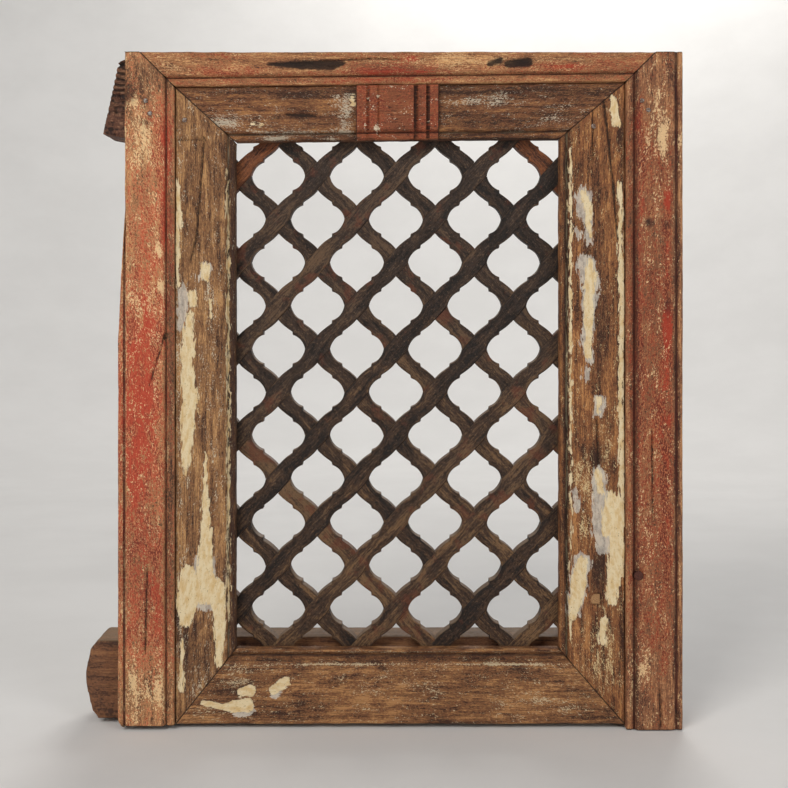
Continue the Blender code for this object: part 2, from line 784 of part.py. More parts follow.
def make_round_peg(jamb):
    """The round peg that pins the outer right stile to the jamb."""
    x, z = INNER_RIGHT + ROUND_PEG_PLACE[0], INNER_BOTTOM + ROUND_PEG_PLACE[1]
    face = BOARD_BACK - OUTER_THICKNESS + PEG_RECESS
    end = face + PEG_LENGTH
    peg = rod_along_y(ROUND_PEG_RADIUS, face, end, PEG_SIDES, x, z)
    shade_round(make_object("round_peg", peg, "peg_wood"))
    hole = rod_along_y(ROUND_PEG_RADIUS + SEAT_GAP, face - PAST, end + SEAT_GAP, PEG_SIDES, x, z)
    cutter = make_cutter("cut_round_peg", hole)
    combine(bpy.data.objects["outer_right_stile"], cutter, "DIFFERENCE")
    combine(jamb, cutter, "DIFFERENCE")


def make_square_peg(jamb):
    """The square peg that pins the inner right stile to the jamb."""
    x, z = INNER_RIGHT + SQUARE_PEG_PLACE[0], INNER_BOTTOM + SQUARE_PEG_PLACE[1]
    face = BOARD_BACK - INNER_THICKNESS + PEG_RECESS
    end = face + PEG_LENGTH
    half = SQUARE_PEG_WIDTH / 2
    make_object("square_peg", prism(square(x, z, half), face, end), "worn_wood")
    hole = prism(square(x, z, half + SEAT_GAP), face - PAST, end + SEAT_GAP)
    cutter = make_cutter("cut_square_peg", hole)
    combine(bpy.data.objects["inner_right_stile"], cutter, "DIFFERENCE")
    combine(jamb, cutter, "DIFFERENCE")


def main():
    clear_scene()
    head = make_head()
    sill = make_sill()
    make_jamb("left_jamb", -1)
    right_jamb = make_jamb("right_jamb", 1)
    cut_mortises(head, HEAD_BOTTOM, 1)
    cut_mortises(sill, SILL_TOP, -1)
    cut_rebate(head, HEAD_BOTTOM, 1)
    cut_rebate(sill, SILL_TOP, -1)
    make_inner_stile("inner_left_stile", -1)
    make_inner_stile("inner_right_stile", 1)
    make_inner_top()
    make_inner_bottom()
    make_block()
    make_outer_left()
    make_outer_right()
    make_outer_top()
    make_lattice()
    make_nails(head)
    make_round_peg(right_jamb)
    make_square_peg(right_jamb)


main()
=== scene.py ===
# %% [markdown]
# A weathered jali: an open lattice of crossing slats in a moulded window frame.
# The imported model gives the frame: every board, beam, slat, nail and peg at its
# real size and place. This script dresses those solids. Each board is made again
# as a fine surface, with the relief of old timber, and gets a procedural finish.
# Lengths are in metres. X runs to the right, Z up, and the front faces -Y.

import contextlib
import functools
import math

import bmesh
import bpy
import numpy as np
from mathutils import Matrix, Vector


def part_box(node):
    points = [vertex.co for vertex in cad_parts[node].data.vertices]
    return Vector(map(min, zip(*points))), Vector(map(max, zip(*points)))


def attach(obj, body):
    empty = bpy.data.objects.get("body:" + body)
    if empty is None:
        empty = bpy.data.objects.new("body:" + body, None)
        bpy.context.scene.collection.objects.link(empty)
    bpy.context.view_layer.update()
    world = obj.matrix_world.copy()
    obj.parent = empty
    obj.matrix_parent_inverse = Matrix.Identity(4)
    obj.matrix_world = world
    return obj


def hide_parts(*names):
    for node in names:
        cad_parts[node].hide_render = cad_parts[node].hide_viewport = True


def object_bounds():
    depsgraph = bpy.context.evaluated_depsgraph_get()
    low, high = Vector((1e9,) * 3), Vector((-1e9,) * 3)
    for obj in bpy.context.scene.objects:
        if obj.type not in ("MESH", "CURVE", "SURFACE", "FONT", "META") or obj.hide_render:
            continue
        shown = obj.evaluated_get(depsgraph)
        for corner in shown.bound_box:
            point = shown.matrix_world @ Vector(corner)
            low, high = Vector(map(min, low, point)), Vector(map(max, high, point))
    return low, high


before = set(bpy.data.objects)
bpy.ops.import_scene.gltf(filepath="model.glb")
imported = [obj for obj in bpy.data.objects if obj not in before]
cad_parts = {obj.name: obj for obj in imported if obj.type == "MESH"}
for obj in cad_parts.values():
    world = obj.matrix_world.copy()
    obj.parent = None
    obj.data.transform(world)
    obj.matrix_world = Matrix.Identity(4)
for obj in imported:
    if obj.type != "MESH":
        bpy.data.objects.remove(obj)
cad_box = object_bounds()
MM = 0.001
print("solid model from", [round(v, 4) for v in cad_box[0]], "to", [round(v, 4) for v in cad_box[1]])

# %% [markdown]
# The photograph was taken from straight in front, with upright lines kept upright,
# and from the height of the panel's upper half: the tops of the low slats and of
# the sill show. A level camera with a vertical shift gives exactly that view.
# A tilted camera would see the same tops, but its upright lines would run together.

# %% Camera
PHOTO_SIDE = 788
PIXEL = 1.3333 * MM
FACE_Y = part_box("outer_left_stile")[0][1]
OPENING_TOP_PX = 141
CENTRE_LINE_PX = 397.5
CAMERA_DISTANCE = 1.8
CAMERA_RISE = 0.126
OPENING_TOP_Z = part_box("inner_top_rail")[0][2]

view_x = (PHOTO_SIDE / 2 - CENTRE_LINE_PX) * PIXEL
view_z = OPENING_TOP_Z - (PHOTO_SIDE / 2 - OPENING_TOP_PX) * PIXEL
camera_place = np.array((view_x, FACE_Y - CAMERA_DISTANCE, view_z + CAMERA_RISE))
view_width = PHOTO_SIDE * PIXEL

SENSOR = 36


def add_object(name, data):
    """Puts data into the scene as an object at the origin."""
    thing = bpy.data.objects.new(name, data)
    bpy.context.scene.collection.objects.link(thing)
    return thing


camera_data = bpy.data.cameras.new("camera")
camera_data.sensor_width = SENSOR
camera_data.lens = SENSOR * CAMERA_DISTANCE / view_width
camera_data.shift_y = -CAMERA_RISE / view_width
camera = add_object("camera", camera_data)
camera.location = camera_place
camera.rotation_euler = (math.radians(90), 0, 0)
bpy.context.scene.camera = camera


def photo_pixels(x, z, y):
    """The photograph's pixel of points in the plane at depth y.

    A ray from the camera meets the plane of the casing's face at a share of the
    way, (face - camera) / (y - camera). A pixel is a fixed length in that plane.
    """
    share = (FACE_Y - camera_place[1]) / (y - camera_place[1])
    across = camera_place[0] + (x - camera_place[0]) * share
    up = camera_place[2] + (z - camera_place[2]) * share
    return PHOTO_SIDE / 2 + (across - view_x) / PIXEL, PHOTO_SIDE / 2 - (up - view_z) / PIXEL


print("lens", round(camera_data.lens, 2), "shift", round(camera_data.shift_y, 3))

# %% [markdown]
# Old timber is never flat: it undulates, its soft rings weather away and its edges
# are rubbed. All of that is noise at several scales. Value noise is the simplest
# kind: a random number at each whole step, and a smooth blend between them.

# %% Noise for relief


def value_noise(x, y, seed):
    """Smooth noise from -1 to 1: random values on a unit grid, blended by 3t^2 - 2t^3."""
    column, row = np.floor(x), np.floor(y)
    tx, ty = x - column, y - row
    tx, ty = tx * tx * (3 - 2 * tx), ty * ty * (3 - 2 * ty)

    def corner(dx, dy):
        angle = (column + dx) * 127.1 + (row + dy) * 311.7 + seed * 74.7
        scrambled = np.sin(angle) * 43758.5453
        return 2 * (scrambled - np.floor(scrambled)) - 1

    low = corner(0, 0) * (1 - tx) + corner(1, 0) * tx
    high = corner(0, 1) * (1 - tx) + corner(1, 1) * tx
    return low * (1 - ty) + high * ty


def layered_noise(x, y, seed, layers=4):
    """Value noise added up, each layer twice as fine and half as strong as the last."""
    total, strength = 0.0, 1.0
    for layer in range(layers):
        total = total + value_noise(x * 2**layer, y * 2**layer, seed + 13 * layer) * strength
        strength /= 2
    return total / 2


print("noise half a step apart:", np.round(layered_noise(np.arange(5) / 2, np.zeros(5), 1), 2))

# %% [markdown]
# Paint patches, stains, cracks and dents have places of their own on the real
# panel, so they can't be left to noise. Each is a chain of discs along a line,
# (x, y, radius) in the photograph's pixels. Their edges are made ragged later, in
# the materials, where noise can be as fine as it likes.

# %% Marks at chosen places


def chain_field(x, y, chain):
    """How deep points lie inside a chain of discs: the largest of radius - distance.

    Between two discs the centre and the radius change evenly, so the chain is a
    row of tapered capsules. Outside it, the value is negative.
    """
    deepest = np.full(x.shape, -1e3)
    links = list(zip(chain, chain[1:])) or [(chain[0], chain[0])]
    for (x0, y0, r0), (x1, y1, r1) in links:
        run = (x1 - x0) ** 2 + (y1 - y0) ** 2
        share = np.clip(((x - x0) * (x1 - x0) + (y - y0) * (y1 - y0)) / max(run, 1e-9), 0, 1)
        gap = np.hypot(x - x0 - share * (x1 - x0), y - y0 - share * (y1 - y0))
        deepest = np.maximum(deepest, r0 + share * (r1 - r0) - gap)
    return deepest


def marks_field(x, y, chains):
    """The deepest of several chains, in pixels, kept between -20 and 20."""
    field = np.full(x.shape, -20.0)
    for chain in chains:
        field = np.maximum(field, chain_field(x, y, chain))
    return np.clip(field, -20, 20)


# Cream paint left on the inner boards
CREAM_MARKS = {
    "inner_left_stile": [
        [(177, 180, 2), (179, 215, 3), (177, 250, 2), (178, 285, 2.5)],
        [(192, 293, 4), (193, 304, 3.5)],
        [(190, 314, 3), (188, 335, 6), (188, 352, 7)],
        [(187, 361, 6), (190, 400, 8), (187, 440, 6), (186, 472, 3)],
        [(206, 266, 4.5), (206, 277, 4)],
        [(210, 300, 1.5), (210, 316, 1.5)],
        [(206, 452, 1), (205, 490, 3), (206, 530, 5), (205, 565, 8), (205, 592, 13)],
        [(188, 573, 8), (187, 600, 11), (186, 620, 7)],
        [(216, 590, 10), (220, 620, 6), (219, 664, 3.5)],
        [(182, 640, 2), (181, 690, 2.5)],
        [(227, 170, 0.6), (228, 300, 1.2), (228, 620, 1.0)],
    ],
    "inner_bottom_rail": [
        [(241, 692, 4), (250, 690, 6)],
        [(228, 707, 5), (247, 705, 7)],
        [(273, 691, 4), (286, 681, 5)],
        [(204, 703, 3), (222, 707, 3)],
    ],
    "inner_right_stile": [
        [(613, 98, 3), (614, 110, 5), (617, 124, 4)],
        [(582, 192, 3), (587, 204, 4), (588, 214, 3.5), (590, 236, 2)],
        [(590, 262, 3), (590, 275, 6), (589, 300, 5), (588, 335, 4), (588, 355, 4)],
        [(599, 399, 3), (598, 411, 2.5)],
        [(598, 473, 4), (601, 492, 3)],
        [(612, 496, 5), (610, 512, 8), (607, 532, 5)],
        [(618, 500, 5), (616, 540, 7), (614, 575, 7), (612, 600, 6)],
        [(582, 563, 6), (578, 585, 8), (573, 616, 4)],
        [(604, 620, 4), (602, 641, 4)],
        [(570.5, 150, 1.4), (570.5, 330, 1.4), (570.5, 500, 0.8), (570.5, 640, 0.4)],
        [(618, 184, 3), (621, 198, 2.5), (620, 240, 2), (622, 300, 3), (621, 380, 2.5),
         (622, 480, 3), (622, 575, 2.5)],
    ],
    "inner_top_rail": [
        [(352, 98, 2), (353, 104, 3)],
        [(252, 124, 2), (262, 126, 1)],
    ],
}
# Grey primer that shows round the cream where it has flaked
GREY_MARKS = {
    "inner_left_stile": [
        [(184, 288, 4), (182, 305, 5), (181, 325, 5)],
        [(204, 565, 11), (205, 596, 15)],
        [(206, 268, 5.5), (203, 276, 5)],
    ],
    "inner_right_stile": [
        [(583, 196, 9), (583, 210, 7), (589, 224, 4), (589, 243, 3)],
        [(578, 232, 3), (580, 238, 2)],
        [(586, 265, 10), (591, 280, 9), (590, 310, 6), (586, 345, 5), (590, 360, 4)],
        [(587, 369, 2), (585, 378, 3.5)],
        [(600, 400, 5), (598, 413, 5)],
        [(598, 474, 7), (602, 500, 9), (603, 530, 11), (604, 545, 9)],
        [(576, 492, 4), (577, 510, 3)],
        [(582, 562, 9), (578, 588, 10), (574, 612, 6)],
    ],
    "inner_bottom_rail": [[(238, 711, 6), (249, 709, 6)], [(274, 696, 4), (284, 684, 3)]],
}
for word, table in (("cream", CREAM_MARKS), ("grey", GREY_MARKS)):
    print(sum(len(chains) for chains in table.values()), word, "patches")

# %% [markdown]
# Broader changes have no edge at all: where the red is still thick, where timber has
# gone dark, where pale scuffs lie, and the painted shade and painted highlights of the
# mouldings. These are soft spots: (x, y, half width, half height, amount), again in the
# photograph's pixels, added to a board's own level.

# %% Soft spots


def soft_field(x, y, level, spots):
    """A level plus bell curves: amount times exp(-(dx/width)^2 - (dy/height)^2) for each spot."""
    field = np.full(x.shape, float(level))
    for spot_x, spot_y, width, height, amount in spots:
        field += amount * np.exp(-(((x - spot_x) / width) ** 2) - ((y - spot_y) / height) ** 2)
    return field


# How much red is left, from none to all of it
RED_LEVEL = {
    "outer_left_stile": (0.50, [
        (150, 70, 40, 30, -0.45), (138, 140, 14, 32, -0.30), (166, 150, 6, 60, 0.45),
        (164, 230, 5, 30, 0.3), (165, 300, 4, 20, 0.3), (128, 230, 8, 80, -0.15),
        (142, 390, 30, 110, 0.30), (135, 470, 12, 90, 0.15), (168, 420, 7, 200, -0.12),
        (150, 590, 20, 60, 0.15), (160, 620, 10, 40, 0.15), (145, 705, 40, 36, -0.40),
        (121, 500, 3, 150, 0.2),
    ]),
    "outer_right_stile": (0.36, [
        (655, 80, 40, 34, -0.30), (638, 118, 4, 20, 0.6), (641, 170, 8, 40, 0.3), (636, 360, 8, 160, 0.3),
        (668, 200, 4, 14, 0.6), (667, 260, 4, 40, 0.4), (668, 330, 6, 26, 0.75), (667, 420, 9, 60, 0.35),
        (664, 500, 12, 60, 0.25), (652, 330, 14, 130, 0.15), (668, 560, 9, 50, 0.2), (660, 630, 12, 30, 0.2),
        (636, 560, 6, 60, 0.2), (650, 700, 40, 40, -0.30), (683, 400, 7, 500, -0.75),
        (678, 400, 4, 500, -0.35),
    ]),
    "outer_top_rail": (0.36, [
        (230, 74, 40, 6, 0.3), (300, 62, 45, 10, -0.5), (390, 72, 60, 9, 0.5), (412, 59, 8, 4, 0.7),
        (450, 60, 50, 8, -0.40), (600, 66, 40, 14, 0.12), (170, 60, 40, 14, -0.25), (565, 66, 26, 3, 0.6),
        (560, 60, 40, 4, -0.3),
    ]),
    "centre_block": (0.5, [(400, 112, 14, 20, -0.4), (370, 120, 8, 20, 0.15), (420, 130, 12, 14, 0.15)]),
}

# Pale scuffs: worn ochre and cream on the casing, whitish scrapes on the lining. On the
# bottom rail, thin light lines on the lip and the step of the cove are painted highlights.
PALE_LEVEL = {
    "outer_left_stile": (0.12, [
        (140, 138, 14, 30, 0.45), (133, 102, 5, 5, 0.7), (159, 249, 5, 8, 0.7), (160, 286, 4, 7, 0.7),
        (145, 310, 20, 30, 0.22), (166, 455, 2, 16, 0.5), (134, 690, 10, 20, 0.55),
        (158, 690, 7, 24, 0.65), (124, 400, 2.5, 300, 0.3),
    ]),
    "outer_right_stile": (0.08, [
        (640, 672, 10, 30, 0.4), (650, 90, 18, 20, 0.15), (650, 540, 20, 60, 0.10),
        (663, 136, 6, 20, 0.75), (648, 140, 4, 16, 0.55), (657, 98, 3, 10, 0.5), (681, 140, 4, 12, 0.6),
        (655, 180, 12, 30, 0.12), (644, 222, 3, 4, 0.6), (662, 300, 6, 40, 0.12), (644, 560, 3, 6, 0.5),
    ]),
    "outer_top_rail": (0.10, [(455, 61, 46, 7, 0.4), (170, 66, 25, 10, 0.2), (560, 60, 30, 6, 0.2)]),
    "inner_top_rail": (0.05, [
        (224, 122, 24, 8, 0.6), (290, 132, 34, 3, 0.5), (346, 112, 9, 16, 0.5), (340, 132, 16, 4, 0.4),
        (485, 101, 32, 6, 0.5), (560, 118, 30, 8, 0.2), (275, 138, 14, 2.5, 0.9), (330, 139, 12, 2.5, 0.6),
    ]),
    "inner_left_stile": (0.05, [
        (178, 330, 3, 160, 0.3), (210, 300, 6, 40, 0.2), (212, 400, 10, 60, 0.1), (200, 690, 12, 18, 0.3),
        (181, 600, 4, 60, 0.3),
    ]),
    "inner_right_stile": (0.05, [
        (584, 480, 10, 26, 0.5), (584, 530, 8, 10, 0.4), (600, 660, 16, 30, 0.25), (608, 450, 4, 30, 0.4),
        (622, 380, 3, 200, 0.3), (606, 640, 10, 30, 0.2),
    ]),
    "inner_bottom_rail": (0.06, [
        # the first three spots are painted highlights on the lip and the step of the cove
        (330, 653.2, 200, 0.9, 0.45), (330, 664.4, 70, 1.1, 0.7), (500, 664.4, 60, 1.1, 0.8),
        (430, 688, 16, 8, 0.35), (550, 700, 40, 10, 0.2), (240, 680, 20, 12, 0.3),
        (210, 712, 14, 8, 0.3), (380, 680, 30, 10, 0.1),
    ]),
    "centre_block": (0.0, [(377, 129, 3, 5, 0.8), (365, 122, 2, 14, 0.3), (378, 96, 1.6, 1.6, 0.8)]),
}

# Darker timber below zero, lighter and more ochre above. Some dark spots are painted shade:
# along the opening's edges, in the quirk of the right lining, under the casing's bead,
# in the cove of the bottom rail and on the left casing's bead.
TONE_LEVEL = {
    "inner_left_stile": (0.0, [
        # the first spot is painted shade along the opening's edge
        (232.5, 400, 4, 500, -1.0), (192, 112, 14, 26, 0.15), (215, 180, 14, 50, -0.10),
        (222, 330, 6, 60, -0.35), (204, 380, 14, 60, 0.12), (218, 520, 10, 90, 0.1),
        (198, 660, 14, 34, -0.4), (186, 640, 5, 30, -0.4), (220, 300, 4, 20, 0.5),
        (181, 400, 4, 90, 0.25),
    ]),
    "inner_right_stile": (-0.05, [
        # painted shade in the quirk beside the bead
        (566, 400, 3.5, 500, -0.7),
        (588, 130, 12, 30, 0.15), (596, 230, 6, 50, -0.40), (600, 330, 7, 50, -0.45), (598, 460, 9, 12, -0.7),
        (599, 570, 9, 26, -0.85), (576, 330, 6, 70, 0.2), (606, 300, 10, 60, -0.1), (579, 545, 8, 26, 0.3),
        (600, 690, 20, 20, 0.0), (576, 160, 8, 40, -0.25),
    ]),
    "inner_top_rail": (-0.1, [
        # painted shade under the bead at the top of the opening
        (500, 139, 260, 3, -0.5),
        (240, 108, 40, 14, 0.15), (300, 104, 30, 8, -0.20), (335, 100, 16, 8, 0.35), (480, 120, 40, 12, -0.3),
        # the last spot here is a painted shadow under the casing's bead
        (560, 104, 30, 12, -0.2), (310, 126, 30, 5, -0.3), (400, 92, 200, 5, -0.5),
    ]),
    "inner_bottom_rail": (0.0, [
        # the first spot is painted shade in the cove
        (400, 658.5, 300, 3.5, -0.4), (240, 690, 40, 22, -0.15),
        (360, 700, 50, 16, 0.15), (450, 690, 60, 14, -0.15), (540, 704, 40, 14, 0.2),
    ]),
    "outer_left_stile": (0.0, [
        # the spots at x 170 are painted shade on the bead at the inner edge
        (170, 400, 4, 320, -0.55), (145, 570, 30, 90, -0.45), (130, 92, 6, 9, -0.9), (146, 101, 5, 5, -0.6),
        (150, 114, 5, 5, -0.6), (146, 122, 10, 4, -0.5), (150, 75, 26, 24, -0.5), (124, 95, 5, 12, -0.7),
        (170, 300, 4, 200, -0.35),
    ]),
    "outer_right_stile": (0.0, [
        (636.5, 400, 3, 600, -0.7), (632, 300, 3, 200, -0.3), (655, 80, 30, 30, -0.1),
        (652, 290, 16, 90, -0.25), (649, 223, 4, 4, -1.2), (667, 225, 4, 4, -0.9),
        (668, 306, 3, 10, -0.9), (676, 400, 3, 600, -0.4), (682, 400, 4, 400, 0.4),
    ]),
    "outer_top_rail": (0.0, [
        (300, 64, 36, 4, -0.6), (450, 62, 50, 8, 0.4), (400, 70, 60, 10, -0.5), (560, 66, 80, 12, -0.15),
        (500, 62, 6, 4, -0.8), (522, 63, 10, 5, -0.9), (250, 57, 60, 3, 0.3),
    ]),
    "centre_block": (0.0, [(420, 112, 4, 26, -0.3)]),
}
for word, table in (("red", RED_LEVEL), ("pale", PALE_LEVEL), ("tone", TONE_LEVEL)):
    print(sum(len(spots) for level, spots in table.values()), "spots of", word)

# %% [markdown]
# A moulding is a section carried along a line, and a mitre is a slanting end cut.
# Both come from one rule here: every point of the section runs straight from one
# cut end of the board to the other. The grid has one row for each place along the
# board and one column for each point of the section, and numpy fills it at once.

# %% Closed surfaces from a grid of points


def closed_tube(name, places, along, around, fields):
    """A mesh from rings of points, with a face across the first ring and the last.

    places is (rows, columns, 3). Face (i, j) joins points (i, j), (i + 1, j),
    (i + 1, j + 1) and (i, j + 1), and the last column joins the first. along and
    around are the two surface lengths, used as the UV map, and around has one
    more column, where the ring closes. fields are numbers for each point.
    """
    rows, columns = places.shape[:2]
    index = np.arange(rows * columns).reshape(rows, columns)
    following = np.roll(index, -1, axis=1)
    quads = np.stack([index[:-1], index[1:], following[1:], following[:-1]], axis=-1).reshape(-1, 4)
    first, last = index[0][::-1], index[-1]
    corners = places.reshape(-1, 3)[quads]
    # the divergence theorem: a closed surface with outward faces has a positive volume
    sides = np.cross(corners[:, 1] - corners[:, 0], corners[:, 3] - corners[:, 0])
    volume = np.einsum("ij,ij->", sides, corners[:, 0] - places.reshape(-1, 3).mean(axis=0))
    if volume < 0:
        quads, first, last = quads[:, ::-1], first[::-1], last[::-1]
    loops = np.concatenate([quads.ravel(), first, last])
    starts = np.concatenate([np.arange(len(quads)) * 4, [len(quads) * 4, len(quads) * 4 + columns]])
    mesh = bpy.data.meshes.new(name)
    mesh.vertices.add(rows * columns)
    mesh.vertices.foreach_set("co", places.astype(np.float32).ravel())
    mesh.loops.add(len(loops))
    mesh.loops.foreach_set("vertex_index", loops.astype(np.int32))
    mesh.polygons.add(len(starts))
    mesh.polygons.foreach_set("loop_start", starts.astype(np.int32))
    is_cap = np.zeros(len(starts), np.int32)
    is_cap[-2:] = 1
    mesh.polygons.foreach_set("material_index", is_cap)
    u = np.stack([along[:-1], along[1:], along[1:], along[:-1]], axis=-1)
    v = np.stack([around[:-1, :-1], around[1:, :-1], around[1:, 1:], around[:-1, 1:]], axis=-1)
    quad_uv = np.stack([u, v], axis=-1).reshape(-1, 4, 2)
    if volume < 0:
        quad_uv = quad_uv[:, ::-1]
    caps = np.concatenate([first, last])
    cap_uv = np.stack([along.ravel()[caps], around[:, :-1].ravel()[caps]], axis=-1)
    uv_map = mesh.uv_layers.new(name="grain")
    uv_map.data.foreach_set("uv", np.concatenate([quad_uv.reshape(-1, 2), cap_uv]).astype(np.float32).ravel())
    for field, values in fields.items():
        layer = mesh.attributes.new(field, "FLOAT", "POINT")
        layer.data.foreach_set("value", values.astype(np.float32).ravel())
    mesh.validate()
    mesh.shade_smooth()
    mesh.set_sharp_from_angle(angle=math.radians(55))
    return add_object(name, mesh)


def grid_normals(places):
    """Outward directions on a ring grid: across the steps along and round it, set to length 1."""
    down = np.gradient(places, axis=0)
    closed = np.concatenate([places[:, -1:], places, places[:, :1]], axis=1)
    round_about = (closed[:, 2:] - closed[:, :-2]) / 2
    normals = np.cross(down, round_about)
    normals /= np.maximum(np.linalg.norm(normals, axis=-1, keepdims=True), 1e-12)
    outward = places - places.mean(axis=1, keepdims=True)
    return normals if np.einsum("ijk,ijk->", normals, outward) > 0 else -normals


# %% [markdown]
# The boards' mouldings follow the photograph: a bead along the inner edge of each
# board, a cove on the bottom rail, and a second groove near the outer edge of the
# casing's stiles. A section is a list of (edge, distance in from that edge, height
# over the back of the board), and short straight steps are put in between.

# %% Sections of the boards
BEAD_SINKAGE = 3 * MM
QUIRK_DEPTH = 6 * MM
QUIRK_WIDTH = 1.6 * MM
LINING_BEAD = 9 * MM
CASING_BEAD = 10.5 * MM
SOFT_EDGE = 5 * MM
CASING_GROOVE = 8 * MM
GROOVE_WIDTH = 3 * MM
GROOVE_DEPTH = 4 * MM
COVE_LIP = 3.5 * MM
COVE_WIDTH = 11 * MM
COVE_DEPTH = 9 * MM


def quarter(edge, start, radius, top, steps=4):
    """A quarter round: offset = start - radius sin a, height = top - radius (1 - cos a), a over 90 degrees.

    On the inner edge it rises to the face, and on the outer edge it falls from it.
    """
    angles = np.linspace(0, math.pi / 2, steps)
    if edge == "inner":
        angles = angles[::-1]
    return [(edge, start - radius * math.sin(a), top - radius * (1 - math.cos(a))) for a in angles]


def bead_section(width, top):
    """A half round bead on the inner edge, a quirk beside it, and the rise to the face."""
    crown, floor = top - BEAD_SINKAGE, top - QUIRK_DEPTH
    points = [("inner", 0, 0)]
    for angle in np.linspace(0, math.pi, 9):
        rise = (crown - floor) * math.sin(angle) ** 0.8
        points.append(("inner", width * (1 - math.cos(angle)) / 2, floor + rise))
    points.append(("inner", width + QUIRK_WIDTH, floor))
    return points + quarter("inner", width + QUIRK_WIDTH + SOFT_EDGE, SOFT_EDGE, top)


def cove_section(top):
    """A lip, a cove sunk behind it, a small step and the face of the board."""
    lip = top - BEAD_SINKAGE
    points = [("inner", 0, 0), ("inner", 0, lip - 1.5 * MM), ("inner", 1 * MM, lip), ("inner", COVE_LIP, lip)]
    for share in np.linspace(0, 1, 9)[1:]:
        sunk = (COVE_DEPTH - BEAD_SINKAGE) * math.sin(math.pi * share)
        points.append(("inner", COVE_LIP + COVE_WIDTH * share, lip - sunk))
    end = COVE_LIP + COVE_WIDTH
    step = top - BEAD_SINKAGE / 2
    rise = ((0.8 * MM, step), (4 * MM, step), (8 * MM, top))
    return points + [("inner", end + across, height) for across, height in rise]


def plain_end(top, radius):
    """The outer edge of a board: a quarter round down to a square side."""
    return quarter("outer", radius, radius, top) + [("outer", 0, 0)]


def grooved_end(top):
    """The outer edge of a casing stile: a groove near the edge, and a rounded fillet beside it."""
    near = CASING_GROOVE + GROOVE_WIDTH
    floor = top - GROOVE_DEPTH
    points = [("outer", near + SOFT_EDGE, top), ("outer", near, top - 1.2 * MM)]
    points += [("outer", near - 1 * MM, floor), ("outer", CASING_GROOVE, floor)]
    points += [("outer", CASING_GROOVE - 1 * MM, top - 2 * MM)]
    return points + quarter("outer", 4 * MM, 4 * MM, top - 1 * MM) + [("outer", 0, 0)]


FINE_STEP = 1.35 * MM
COARSE_STEP = 7 * MM
STATION_STEP = 2.6 * MM
END_ROWS = (0, 0.5 * MM, 1.3 * MM)


def runs_of(section, inner, outer):
    """Where each point of a section starts and ends, for a board between two edges.

    inner and outer are the two ends of each edge, as (x, z). A distance in from an
    edge is measured square to the board, so it is turned into a share of the width.
    """
    starts, ends = [], []
    way = np.subtract(inner[1], inner[0])
    square = np.array((-way[1], way[0])) / np.linalg.norm(way)
    for edge, offset, rise in section:
        for end, spots in ((0, starts), (1, ends)):
            across = np.subtract(outer[end], inner[end])
            share = offset / abs(across @ square)
            share = share if edge == "inner" else 1 - share
            spots.append((*(np.array(inner[end]) + across * share), rise))
    return np.array(starts), np.array(ends)


def refined(starts, ends, thickness):
    """The same closed ring with straight steps put in: fine ones near the face, coarse ones behind."""
    fine_starts, fine_ends = [], []
    for here, there, here_end, there_end in zip(
        starts, np.roll(starts, -1, axis=0), ends, np.roll(ends, -1, axis=0)
    ):
        in_front = min(here[2], there[2]) > thickness * 0.5
        step = FINE_STEP if in_front else COARSE_STEP
        count = max(1, round(np.linalg.norm(there - here) / step))
        for share in np.arange(count) / count:
            fine_starts.append(here + share * (there - here))
            fine_ends.append(here_end + share * (there_end - here_end))
    return np.array(fine_starts), np.array(fine_ends)


def bend_of(ring):
    """How sharply a ring turns at each point: positive on an arris, negative in a groove.

    The turn is the cross product of the directions before and after, looking
    about 2 mm each way, and it is smoothed once with its neighbours.
    """
    flat = np.stack([np.hypot(ring[:, 0] - ring[0, 0], ring[:, 1] - ring[0, 1]), ring[:, 2]], axis=1)
    before = flat - np.roll(flat, 1, axis=0)
    after = np.roll(flat, -1, axis=0) - flat
    turn = before[:, 1] * after[:, 0] - before[:, 0] * after[:, 1]
    turn /= np.linalg.norm(before, axis=1) * np.linalg.norm(after, axis=1) + 1e-12
    return (np.roll(turn, 1) + 2 * turn + np.roll(turn, -1)) / 3


print(len(bead_section(LINING_BEAD, 22 * MM)), "points in a bead,", len(cove_section(22 * MM)), "in a cove")

# %% [markdown]
# The corners of the frame are read from the solids, so the boards meet where the
# solids do. The top of the opening climbs a little to the right, as in the photo.

# %% Corners of the frame
open_left, open_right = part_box("inner_left_stile")[1][0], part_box("inner_right_stile")[0][0]
joint_left, joint_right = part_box("inner_left_stile")[0][0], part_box("inner_right_stile")[1][0]
open_foot, joint_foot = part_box("inner_bottom_rail")[1][2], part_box("inner_bottom_rail")[0][2]
casing_left, casing_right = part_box("outer_left_stile")[0][0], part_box("outer_right_stile")[1][0]
casing_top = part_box("outer_top_rail")[1][2]
right_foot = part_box("outer_right_stile")[0][2]
joint_top_left, joint_top_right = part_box("outer_top_rail")[0][2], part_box("inner_top_rail")[1][2]
climb = (joint_top_right - joint_top_left) / (joint_right - joint_left)
open_top_left = OPENING_TOP_Z
open_top_right = open_top_left + climb * (open_right - open_left)

OPEN = {
    "top_left": (open_left, open_top_left),
    "top_right": (open_right, open_top_right),
    "foot_left": (open_left, open_foot),
    "foot_right": (open_right, open_foot),
}
JOINT = {
    "top_left": (joint_left, joint_top_left),
    "top_right": (joint_right, joint_top_right),
    "foot_left": (joint_left, joint_foot),
    "foot_right": (joint_right, joint_foot),
}
mitre_left = (joint_left - (casing_top - joint_top_left), casing_top)
mitre_right = (joint_right + (casing_top - joint_top_right), casing_top)
print("opening", round((open_right - open_left) / MM), "x", round((open_top_left - open_foot) / MM), "mm")

# %% [markdown]
# Cracks, gouges and the holes round the two pegs have places of their own, like the
# paint patches. They are chains of discs too, but they are cut into the surface.

